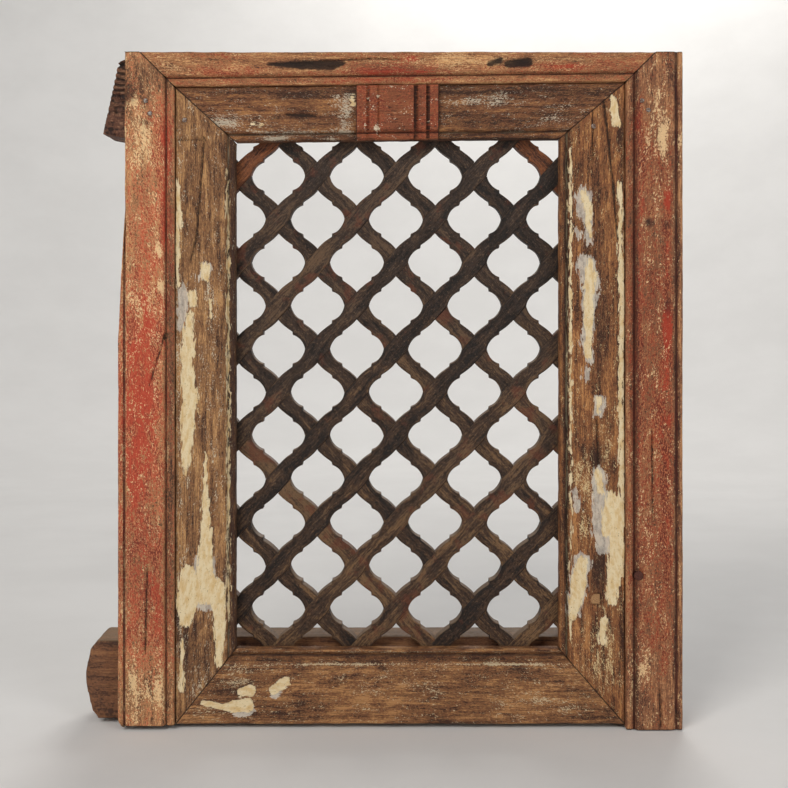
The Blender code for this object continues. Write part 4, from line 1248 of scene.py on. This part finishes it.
def attribute(tree, name):
    """A number that the mesh holds at each of its points."""
    return put(tree, "Attribute", attribute_name=name).outputs["Fac"]


def facing_up(tree):
    """The upward part of the surface's direction: 1 on top, 0 on a wall, -1 underneath."""
    return put(tree, "SeparateXYZ", [put(tree, "NewGeometry").outputs["Normal"]]).outputs[2]


def new_group(name, inputs, outputs):
    """An empty node group with named sockets. A kind is Float, Color or Vector."""
    tree = bpy.data.node_groups.new(name, "ShaderNodeTree")
    for in_out, sockets in (("INPUT", inputs), ("OUTPUT", outputs)):
        for socket, kind in sockets.items():
            tree.interface.new_socket(socket, in_out=in_out, socket_type="NodeSocket" + kind)
    source = tree.nodes.new("NodeGroupInput").outputs
    target = tree.nodes.new("NodeGroupOutput").inputs
    return tree, source, target


def use(group, inputs):
    """Places a group in its inputs' own tree and returns its outputs."""
    filled = {key: as_input(value) for key, value in inputs.items()}
    return put(tree_of(inputs.values()), "Group", filled, node_tree=group).outputs


def old_grain(vector, colours, tone):
    """The grain group with its dark, middle and light colours."""
    dark, middle, light = colours
    return use(GRAIN, {"Vector": vector, "Dark": dark, "Middle": middle, "Light": light, "Tone": tone})


def srgb(red, green, blue):
    """A colour as the eye counts it, 0 to 255, turned to linear: below 0.04 a twelfth, else power 2.4."""
    shares = np.array((red, green, blue)) / 255
    return tuple(np.where(shares < 0.04, shares / 12.92, ((shares + 0.055) / 1.055) ** 2.4).tolist())


def shades(*colours):
    """Several colours at once, each from 0 to 255."""
    return tuple(srgb(*colour) for colour in colours)


print("a middle grey of 128 is", round(srgb(128, 128, 128)[0], 3), "in linear light")

# %% [markdown]
# Old grain is the base of every board and slat: broad streaks, fine fibres, blotches
# where damp has sat, and dark checks where the wood has begun to split. It reads
# metres along and across the grain, so the fibres stay the same size on every piece.

# %% Node group: old grain
GRAIN, grain_in, grain_out = new_group(
    "old_grain",
    {"Vector": "Vector", "Dark": "Color", "Middle": "Color", "Light": "Color", "Tone": "Float"},
    {"Color": "Color", "Height": "Float"},
)
along_across = grain_in["Vector"]
streaks = noise(along_across, (9, 130, 60), 3, 0.65, 0.4)
fibres = noise(along_across, (60, 700, 300), 2, 0.7)
blotches = noise(along_across, (34, 64, 30), 5, 0.74, 0.6)
specks = noise(along_across, (240, 460, 400), 1, 0.8)
clouds = noise(along_across, (13, 34, 16), 2, 0.6, 0.9)
level = times(streaks, 0.25)
weights = ((fibres, 0.18), (blotches, 0.24), (specks, 0.16), (clouds, 0.17), (grain_in["Tone"], 0.08))
for layer, weight in weights:
    level = times_plus(layer, weight, level)
low_colour = blend(ramp(level, 0.435, 0.495), grain_in["Dark"], grain_in["Middle"])
colour = blend(ramp(level, 0.50, 0.56), low_colour, grain_in["Light"])
rings = noise(along_across, (8, 230, 80), 2, 0.6, 0.2)
check = ramp(absolute(minus(rings, 0.5)), 0.004, 0.025, 1.0, 0.0)
check = times(check, ramp(blotches, 0.47, 0.56))
colour = blend(times(check, 0.7), colour, (0.035, 0.018, 0.010))
height = times_plus(specks, 0.5, fibres)
GRAIN.links.new(colour, grain_out["Color"])
GRAIN.links.new(height, grain_out["Height"])
print(GRAIN.name, "has", len(GRAIN.nodes), "nodes")

# %% [markdown]
# Flaking paint ends in a ragged line, however smooth the patch was drawn. The group
# adds noise, stretched along the grain, to the depth inside a patch, cuts it at zero,
# and also gives a narrow rim round the patch, which is darkened: dirt at the paint's
# broken edge, and painted shadow of that edge. A picture of flaked paint would do it
# too, but it would blur close by and repeat from board to board.

# %% Node group: ragged patch
RAGGED, ragged_in, ragged_out = new_group(
    "ragged_patch",
    {"Vector": "Vector", "Field": "Float", "Ragged": "Float"},
    {"Mask": "Float", "Rim": "Float"},
)
coarse = minus(noise(ragged_in["Vector"], (48, 150, 60), 4, 0.68, 0.6), 0.5)
distance = times_plus(coarse, ragged_in["Ragged"], ragged_in["Field"])
RAGGED.links.new(ramp(distance, -0.3, 0.3), ragged_out["Mask"])
rim = absolute(distance)
RAGGED.links.new(ramp(rim, 0.2, 1.5, 1.0, 0.0), ragged_out["Rim"])
print(RAGGED.name, "has", len(RAGGED.nodes), "nodes")

# %% [markdown]
# The red was never scraped off: it has worn away grain by grain, so what is left is a
# fine net over ochre ground. The cover says how much is left, and noise with a
# millimetre grain decides where. Larger patches come from slower noise below it.

# %% Node group: worn away grain by grain
SPECKLE, speckle_in, speckle_out = new_group(
    "worn_speckle", {"Vector": "Vector", "Cover": "Float"}, {"Mask": "Float", "Halo": "Float"}
)
grit = noise(speckle_in["Vector"], (300, 400, 300), 1.5, 0.9, 0.8)
drift = noise(speckle_in["Vector"], (30, 70, 40), 4, 0.75, 0.5)
amount = times_plus(minus(drift, 0.5), 1.9, speckle_in["Cover"])
amount = times_plus(minus(grit, 0.5), 2.3, amount)
SPECKLE.links.new(ramp(amount, 0.42, 0.58), speckle_out["Mask"])
SPECKLE.links.new(ramp(amount, 0.12, 0.40), speckle_out["Halo"])
print(SPECKLE.name, "has", len(SPECKLE.nodes), "nodes")

# %% [markdown]
# Every board has the same layers, mostly in the order in which the years laid them down:
# timber, ground and red paint worn to a net, pale scuffs with a few painted highlights,
# darker timber with some painted shade, thick patches of cream and grey, then dirt in
# the joints and cracks, and dirt with painted shade in the grooves. Only the colours and
# the amounts differ from board to board, so one function builds them all.

# %% Finish of the boards
INK = (0.012, 0.007, 0.005)
# brown for darker timber, pores, and painted shade
GRIME_AND_SHADE = srgb(52, 32, 24)
CREAM = srgb(220, 202, 164)
CREAM_DEEP = srgb(204, 172, 120)
GREY_WHITE = srgb(210, 200, 184)
BLUE_GREY = srgb(172, 164, 154)


def surface(material, colour, rough, height, depth, specular=0.3):
    """Joins colour, roughness and height to the material's shader. depth is the bump's, in metres."""
    tree = material.node_tree
    shader = tree.nodes["Principled BSDF"]
    tree.links.new(colour, shader.inputs["Base Color"])
    tree.links.new(rough, shader.inputs["Roughness"])
    shader.inputs["Specular IOR Level"].default_value = specular
    bump = put(tree, "Bump", {"Height": height, "Distance": depth, "Strength": 1.0})
    tree.links.new(bump.outputs[0], shader.inputs["Normal"])


def start_material(name):
    """A new material with its shader, and its node tree."""
    material = bpy.data.materials.new(name)
    material.use_nodes = True
    return material, material.node_tree


def board_finish(name, timber, red, ground, pale, groove, ragged=15.0):
    """A board's material. timber is (dark, middle, light), red is (deep, middle, chalky, thick)."""
    material, tree = start_material(name)
    uv = put(tree, "UVMap", uv_map="grain").outputs[0]
    bend, front = attribute(tree, "bend"), attribute(tree, "front")
    tone = attribute(tree, "tone")
    grain = old_grain(uv, timber, tone)
    colour = grain["Color"]

    # ground and red, thinner on rubbed edges and kept to the front
    cover = times(attribute(tree, "red"), front)
    rubbed = ramp(bend, 0.12, 0.5)
    cover = times_plus(rubbed, -0.15, cover)
    shifted = put(tree, "Mapping", {"Vector": uv, "Location": (3.1, 1.7, 0)}).outputs[0]
    left = use(SPECKLE, {"Vector": shifted, "Cover": cover})
    flush = noise(uv, (26, 60, 30), 4, 0.7)
    grit = noise(uv, (260, 520, 400), 2, 0.8)
    red_colour = blend(ramp(flush, 0.42, 0.58), red[0], red[1])
    red_colour = blend(ramp(grit, 0.50, 0.60), red_colour, red[2])
    thick = times_plus(minus(flush, 0.5), 1.2, cover)
    red_colour = blend(ramp(thick, 0.62, 0.86, 0.0, 0.85), red_colour, red[3])
    colour = blend(times(left["Halo"], 0.7), colour, ground)
    colour = blend(times(left["Mask"], 0.92), colour, red_colour)

    # pale scuffs, and painted highlights on the lip and the step of the bottom rail
    pale_cover = times(attribute(tree, "pale"), front)
    offset = put(tree, "Mapping", {"Vector": uv, "Location": (7.3, 4.9, 0)}).outputs[0]
    pale_mask = use(SPECKLE, {"Vector": offset, "Cover": pale_cover})["Mask"]
    colour = blend(times(pale_mask, 0.8), colour, pale)

    # darker where the tone is low: darker timber, and painted shade where the tone table puts it; pores stay
    # dark
    wander = minus(noise(uv, (120, 300, 200), 3, 0.7), 0.5)
    dark_tone_and_shade = ramp(times_plus(wander, 1.6, tone), 0.05, -1.1, 0.0, 0.72)
    colour = blend(dark_tone_and_shade, colour, GRIME_AND_SHADE)
    pores = ramp(grit, 0.40, 0.30, 0.0, 0.72)
    colour = blend(pores, colour, GRIME_AND_SHADE)

    # paint that stays down in a groove
    in_groove = times(ramp(bend, -0.10, -0.30), front)
    kept = ramp(noise(uv, (22, 200, 60), 4, 0.6), 0.42, 0.56)
    colour = blend(times(times(in_groove, kept), 0.7), colour, groove)

    # thick patches: grey first, cream over it
    faces = ramp(front, 0.3, 0.6)
    cream = use(RAGGED, {"Vector": uv, "Field": attribute(tree, "cream"), "Ragged": ragged})
    grey = use(RAGGED, {"Vector": shifted, "Field": attribute(tree, "grey"), "Ragged": ragged * 1.4})
    clouds = noise(uv, (60, 90, 60), 5, 0.65)
    cream_colour = blend(ramp(clouds, 0.40, 0.68), CREAM, CREAM_DEEP)
    grey_colour = blend(ramp(clouds, 0.42, 0.6), GREY_WHITE, BLUE_GREY)
    patch_colour = blend(cream["Mask"], grey_colour, cream_colour)
    pits = ramp(grit, 0.30, 0.38)
    patch = larger(cream["Mask"], times(grey["Mask"], 0.8))
    patch = times(times(patch, pits), faces)
    # the rim round the cream is darkened: dirt at the broken edge, and painted shadow of that edge
    rim = times(times(cream["Rim"], faces), minus(1.0, patch))
    colour = blend(times(rim, 0.3), colour, INK)
    colour = blend(patch, colour, patch_colour)

    # dirt in cracks, gouges and joints, and painted shade with dirt in the deep grooves
    crack = ramp(times_plus(wander, 5.0, attribute(tree, "crack")), -0.6, 0.5, 0.0, 0.85)
    gouge = ramp(times_plus(wander, 6.0, attribute(tree, "gouge")), -1.0, 1.4)
    crack = times(crack, faces)
    gouge = times(times(gouge, 0.9), faces)
    seam = ramp(times_plus(wander, 1.2, attribute(tree, "joint")), 0.4, 1.9, 0.85, 0.0)
    dirt_and_groove_shade = larger(larger(crack, gouge), seam)
    # painted shade in the deep grooves, partly dirt: darker where the surface turns in, less under thick
    # paint
    bare = minus(0.6, times(patch, 0.5))
    deep = times(ramp(bend, -0.22, -0.5), bare)
    dirt_and_groove_shade = larger(dirt_and_groove_shade, deep)
    colour = blend(dirt_and_groove_shade, colour, INK)

    rough = ramp(patch, 0.0, 1.0, 0.75, 0.55)
    covered = ramp(attribute(tree, "cream"), -1.0, 2.0, 1.0, 0.3)
    surface(material, colour, rough, times(grain["Height"], covered), 0.9 * MM)
    return material


# %% [markdown]
# The planks differ, so each board has a timber of its own, and its own worn red where
# it was ever painted. The colours were judged beside the photograph, board by board.

# %% Colours of the boards
NO_RED = shades((120, 60, 40)) * 4
LEFT_RED = shades((132, 46, 33), (178, 80, 54), (212, 128, 90), (178, 54, 38))
RIGHT_RED = shades((100, 32, 22), (136, 55, 35), (180, 108, 70), (164, 51, 31))
TOP_RED = shades((116, 42, 28), (150, 67, 43), (190, 113, 77), (166, 55, 35))
BLOCK_RED = shades((103, 38, 25), (134, 60, 37), (170, 100, 66), (152, 50, 31))
# board: (material, timber, red, (ground, pale scuffs and painted highlights, paint in the grooves))
BOARD_COLOURS = {
    "casing_left": ("left_casing_paint", shades((91, 60, 43), (151, 106, 73), (197, 147, 100)),
                    LEFT_RED, shades((206, 145, 98), (236, 202, 152), (112, 46, 34))),
    "casing_right": ("right_casing_paint", shades((70, 43, 32), (130, 86, 60), (184, 132, 90)),
                     RIGHT_RED, shades((152, 95, 62), (230, 196, 148), (112, 38, 30))),
    "casing_top": ("top_casing_paint", shades((82, 51, 37), (153, 103, 68), (214, 164, 111)),
                   TOP_RED, shades((176, 122, 82), (220, 180, 130), (98, 40, 28))),
    "block": ("block_paint", shades((70, 38, 26), (120, 68, 43), (150, 92, 58)),
              BLOCK_RED, shades((136, 76, 50), (226, 212, 184), (96, 34, 26))),
    "lining_left": ("left_lining_timber", shades((67, 43, 31), (132, 93, 62), (187, 142, 94)),
                    NO_RED, shades((150, 110, 70), (210, 198, 172), (200, 190, 162))),
    "lining_right": ("right_lining_timber", shades((61, 36, 25), (127, 79, 48), (183, 128, 78)),
                     NO_RED, shades((150, 110, 70), (218, 194, 146), (214, 198, 160))),
    "lining_top": ("top_lining_timber", shades((60, 37, 26), (116, 73, 47), (167, 117, 72)),
                   NO_RED, shades((150, 110, 70), (196, 184, 162), (150, 130, 104))),
    "lining_foot": ("foot_lining_timber", shades((62, 38, 27), (121, 80, 51), (175, 127, 81)),
                    NO_RED, shades((150, 110, 70), (200, 182, 148), (110, 48, 36))),
}
FOOT_RAGGED = 9.0
finishes = {}
for board, (name, timber, red, others) in BOARD_COLOURS.items():
    ragged = {"ragged": FOOT_RAGGED} if board == "lining_foot" else {}
    finishes[board] = board_finish(name, timber, red, *others, **ragged)
print(len(finishes), "finishes for the boards")

# %% [markdown]
# The lattice was never painted. Centuries of smoke and handling have turned it nearly
# black above, it grows warmer and paler towards the sill, and dust lies on every edge
# that faces up. Height and the direction of the surface give both.

# %% Finish of the lattice


def lattice_finish(name, upper, lower, dust, plain):
    """Dark slats: upper and lower are (dark, middle, light) colours at the top and at the sill."""
    material, tree = start_material(name)
    uv = put(tree, "UVMap", uv_map="grain").outputs[0]
    place = put(tree, "TexCoord").outputs["Object"]
    height_up = put(tree, "SeparateXYZ", [place]).outputs[2]
    wander = minus(noise(place, 9, 4, 0.6), 0.5)
    down = ramp(times_plus(wander, 0.9, height_up), -0.72, -0.12, 1.0, 0.0)
    colours = [blend(down, first, second) for first, second in zip(upper, lower)]
    shade = attribute(tree, "shade")
    tone = times(shade, 0.55)
    grain = old_grain(uv, colours, tone)
    gathered = noise(place, 260, 4, 0.65)
    dusty = ramp(times_plus(gathered, 0.7, facing_up(tree)), 0.55, 1.15, 0.0, 0.75)
    colour = blend(dusty, grain["Color"], dust)
    warm = times_plus(shade, 0.07, noise(place, 26, 5, 0.7))
    russet = ramp(warm, 0.55, 0.66, 0.0, 0.6)
    colour = blend(russet, colour, plain)
    grit = noise(uv, (260, 360, 300), 2, 0.8)
    colour = blend(ramp(grit, 0.60, 0.68, 0.0, 0.55), colour, dust)
    colour = blend(ramp(grit, 0.40, 0.32, 0.0, 0.7), colour, INK)
    rough = ramp(gathered, 0.3, 0.7, 0.55, 0.8)
    surface(material, colour, rough, grain["Height"], 0.6 * MM)
    return material


DUST = srgb(128, 106, 82)
SMOKED_ABOVE = shades((24, 18, 15), (52, 39, 31), (87, 67, 51))
SMOKED_BELOW = shades((27, 19, 15), (67, 47, 33), (114, 86, 58))
NEW_WOOD = shades((46, 26, 18), (106, 60, 34), (140, 84, 48))
lattice_wood = lattice_finish(
    "smoked_lattice", SMOKED_ABOVE, SMOKED_BELOW, *shades((120, 95, 70), (98, 52, 34)))
replacement_wood = lattice_finish(
    "replacement_slats", NEW_WOOD, NEW_WOOD, *shades((140, 96, 62), (88, 42, 26)))
print("finishes for the slats:", lattice_wood.name, "and", replacement_wood.name)

# %% [markdown]
# The beams behind are sawn from thick trunks. Their long faces show bands of grain,
# and their cut ends show arcs of the rings. Measuring each point's distance from the
# middle of the trunk gives both at once, where a flat picture would need two.

# %% Finish of the timber behind
PITH_OFFSET = 60 * MM
RING_CLOSENESS = 1.9


def timber_finish(name, node, colours, dust):
    """Sawn timber, with its grain along the solid's longest side, and its carved grooves darker: dirt, and
    painted shade.

    The measure across the grain is the distance from a pith that lies outside the
    timber, so its bands run along the faces and are arcs of rings on the cut ends.
    """
    material, tree = start_material(name)
    low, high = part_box(node)
    along_axis = 0 if high[0] - low[0] > high[2] - low[2] else 2
    middle = middle_of(node)
    place = put(tree, "TexCoord").outputs["Object"]
    parts = put(tree, "SeparateXYZ", [place]).outputs
    behind = minus(parts[1], middle[1] + PITH_OFFSET)
    beside = minus(parts[2 - along_axis], middle[2 - along_axis] - PITH_OFFSET)
    from_pith = put(tree, "CombineXYZ", [behind, beside, 0.0]).outputs[0]
    radius = put(tree, "VectorMath", [from_pith], operation="LENGTH").outputs["Value"]
    across = times(radius, RING_CLOSENESS)
    vector = put(tree, "CombineXYZ", [parts[along_axis], across, 0.0]).outputs[0]
    tone = minus(noise(place, 11, 4, 0.6), 0.5)
    grain = old_grain(vector, colours, tone)
    gathered = noise(place, 200, 4, 0.65)
    dusty = ramp(times_plus(gathered, 0.6, facing_up(tree)), 0.8, 1.3, 0.0, 0.6)
    colour = blend(dusty, grain["Color"], dust)
    # painted shade in the horn's carved grooves, with their dirt: darker the deeper the carving
    dirt_and_groove_shade = ramp(attribute(tree, "carving"), 0.15, 0.8, 0.0, 0.8)
    colour = blend(dirt_and_groove_shade, colour, INK)
    rough = ramp(gathered, 0.3, 0.7, 0.6, 0.85)
    surface(material, colour, rough, grain["Height"], 0.7 * MM)
    return material


HEAD_WOOD = shades((42, 27, 21), (98, 64, 49), (148, 108, 82))
SILL_WOOD = shades((72, 48, 36), (116, 78, 54), (140, 98, 66))
JAMB_WOOD = shades((44, 32, 26), (84, 60, 44), (112, 84, 60))
END_WOOD = shades((60, 42, 32), (108, 78, 54), (136, 100, 68))
beam_finishes = {
    "head_beam": timber_finish("head_timber", "head_beam", HEAD_WOOD, DUST),
    "sill_beam": timber_finish("sill_timber", "sill_beam", SILL_WOOD, srgb(140, 112, 80)),
    "left_jamb": timber_finish("left_jamb_timber", "left_jamb", JAMB_WOOD, DUST),
    "right_jamb": timber_finish("right_jamb_timber", "right_jamb", JAMB_WOOD, DUST),
}
end_grain = timber_finish("end_grain", "outer_left_stile", END_WOOD, DUST)
print(len(beam_finishes), "finishes for the beams and jambs")

# %% [markdown]
# Forged iron goes grey-brown: dull metal where hands and rain polish it, rust in
# between. The pegs show their end grain, which is darker than the face and ringed.

# %% Finish of the fixings


def iron_finish():
    """Rusted iron: metal shows through where slow noise is high."""
    material, tree = start_material("rusted_iron")
    place = put(tree, "TexCoord").outputs["Object"]
    patches = noise(place, 420, 4, 0.65)
    grains = noise(place, 1500, 3, 0.7)
    bare = ramp(patches, 0.44, 0.58)
    colour = blend(bare, srgb(96, 66, 50), srgb(158, 150, 142))
    colour = blend(ramp(grains, 0.5, 0.7, 0.0, 0.5), colour, srgb(52, 34, 28))
    shader = tree.nodes["Principled BSDF"]
    tree.links.new(ramp(bare, 0.0, 1.0, 0.1, 0.6), shader.inputs["Metallic"])
    surface(material, colour, ramp(grains, 0.3, 0.7, 0.35, 0.7), grains, 0.2 * MM, 0.5)
    return material


def peg_finish(name, node, colours, is_square):
    """End grain: rings round the peg's own middle, bent by noise, and a dark outline in its shape."""
    material, tree = start_material(name)
    low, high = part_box(node)
    across = high[0] - low[0]
    middle = middle_of(node)
    place = put(tree, "TexCoord").outputs["Object"]
    mapping = {"Vector": place, "Location": (-middle[0], 0, -middle[2]), "Scale": (1, 0, 1)}
    own = put(tree, "Mapping", mapping).outputs[0]
    radius = put(tree, "VectorMath", [own], operation="LENGTH").outputs["Value"]
    bent = times_plus(noise(place, 160, 3, 0.6), 0.004, radius)
    rings = maths("SINE", times(bent, 5200.0))
    grains = noise(place, 1100, 3, 0.7)
    level = times_plus(rings, 0.22, grains)
    colour = blend(ramp(level, 0.25, 0.55), colours[0], colours[1])
    colour = blend(ramp(level, 0.55, 0.85), colour, colours[2])
    reach = radius
    if is_square:
        sides = put(tree, "VectorMath", [own], operation="ABSOLUTE").outputs[0]
        sides = put(tree, "SeparateXYZ", [sides]).outputs
        reach = larger(sides[0], sides[2])
    edge = ramp(reach, across * 0.42, across * 0.52, 0.0, 0.7)
    colour = blend(edge, colour, INK)
    surface(material, colour, ramp(grains, 0.3, 0.7, 0.6, 0.85), level, 0.3 * MM)
    return material


PEG_FINISHES = {
    "round_peg": (shades((48, 26, 22), (84, 44, 34), (108, 62, 46)), False),
    "square_peg": (shades((112, 80, 54), (166, 126, 86), (192, 152, 106)), True),
}
rusted = iron_finish()
peg_woods = [peg_finish(node + "_wood", node, *look) for node, look in PEG_FINISHES.items()]
print(rusted.name, "for the nails,", len(peg_woods), "finishes for the pegs")

# %% [markdown]
# Each piece now gets its material. A board has two materials: its own on the long
# faces, and end grain on the two cut ends.

# %% Dress every piece
dressing = [(piece, [finishes[name], end_grain]) for name, piece in boards.items()]
for piece in slats:
    dressing.append((piece, [replacement_wood if piece.name.endswith("_01") else lattice_wood]))
dressing += [(piece, [beam_finishes[node]]) for node, piece in beams.items()]
dressing += [(nail, [rusted]) for nail in fixings["nails"]]
dressing += [(peg, [wood]) for peg, wood in zip(fixings["pegs"], peg_woods)]


for piece, materials in dressing:
    for material in materials:
        piece.data.materials.append(material)
print(len(dressing), "pieces in", len(bpy.data.materials), "materials")

# %% [markdown]
# The panel stands upright on a pale floor. The floor is one bowl: flat round the
# panel, and rising slowly far away, so no horizon shows from any side. A large soft
# light from above and the left gives the mouldings their shadows, as in the photo,
# a weaker one fills from the right, and a pale world keeps the shadows open.

# %% Floor and light
FLOOR_Z = cad_box[0][2] - 1 * MM
BOWL_FLAT, BOWL_REACH, BOWL_RISE = 2.6, 8.0, 6.0
RINGS, TURNS = 40, 64
ring, turn = np.meshgrid(np.linspace(0, 1, RINGS), np.arange(TURNS) / TURNS * 2 * math.pi, indexing="ij")
bowl_radius = 0.01 + ring * BOWL_REACH
beyond = np.clip((bowl_radius - BOWL_FLAT) / (BOWL_REACH - BOWL_FLAT), 0, 1)
bowl_x, bowl_y = bowl_radius * np.cos(turn), bowl_radius * np.sin(turn)
bowl_places = np.stack([bowl_x, bowl_y, FLOOR_Z + BOWL_RISE * beyond**2], axis=-1)
index = np.arange(RINGS * TURNS).reshape(RINGS, TURNS)
after = np.roll(index, -1, axis=1)
quads = np.stack([index[:-1], index[1:], after[1:], after[:-1]], axis=-1).reshape(-1, 4)
floor_mesh = bpy.data.meshes.new("floor")
floor_mesh.from_pydata(bowl_places.reshape(-1, 3).tolist(), [], quads.tolist() + [index[0].tolist()])
floor_mesh.shade_smooth()
floor = add_object("floor", floor_mesh)
paper, paper_tree = start_material("pale_floor")
plaster = noise(put(paper_tree, "TexCoord").outputs["Object"], 3, 5, 0.6)
paper_colour = blend(ramp(plaster, 0.3, 0.7), (0.76, 0.75, 0.735), (0.80, 0.79, 0.775))
paper_shader = paper_tree.nodes["Principled BSDF"]
paper_tree.links.new(paper_colour, paper_shader.inputs["Base Color"])
paper_shader.inputs["Roughness"].default_value = 0.9
floor_mesh.materials.append(paper)


def soft_light(name, place, target, size, power, colour):
    """A square area light at a place, turned to a target."""
    data = bpy.data.lights.new(name, "AREA")
    data.energy, data.size, data.color = power, size, colour
    lamp = add_object(name, data)
    lamp.location = place
    lamp.rotation_euler = (Vector(target) - Vector(place)).to_track_quat("-Z", "Y").to_euler()


PANEL_MIDDLE = (0, FACE_Y, -0.35)
soft_light("soft_key", (-1.8, -3.6, 2.4), PANEL_MIDDLE, 1.8, 110, (1.0, 0.97, 0.93))
soft_light("soft_fill", (2.4, -3.2, 0.75), PANEL_MIDDLE, 1.6, 34, (0.97, 0.98, 1.0))
soft_light("back_fill", (1.0, 5.6, 3.4), PANEL_MIDDLE, 3.0, 200, (1.0, 0.98, 0.95))

world = bpy.data.worlds.new("studio")
world.use_nodes = True
world.node_tree.nodes["Background"].inputs["Color"].default_value = (0.86, 0.87, 0.9, 1)
world.node_tree.nodes["Background"].inputs["Strength"].default_value = 0.2
bpy.context.scene.world = world
bpy.context.scene.view_settings.view_transform = "Standard"
print("floor of", len(floor_mesh.polygons), "faces, and", len(bpy.data.lights), "lights")
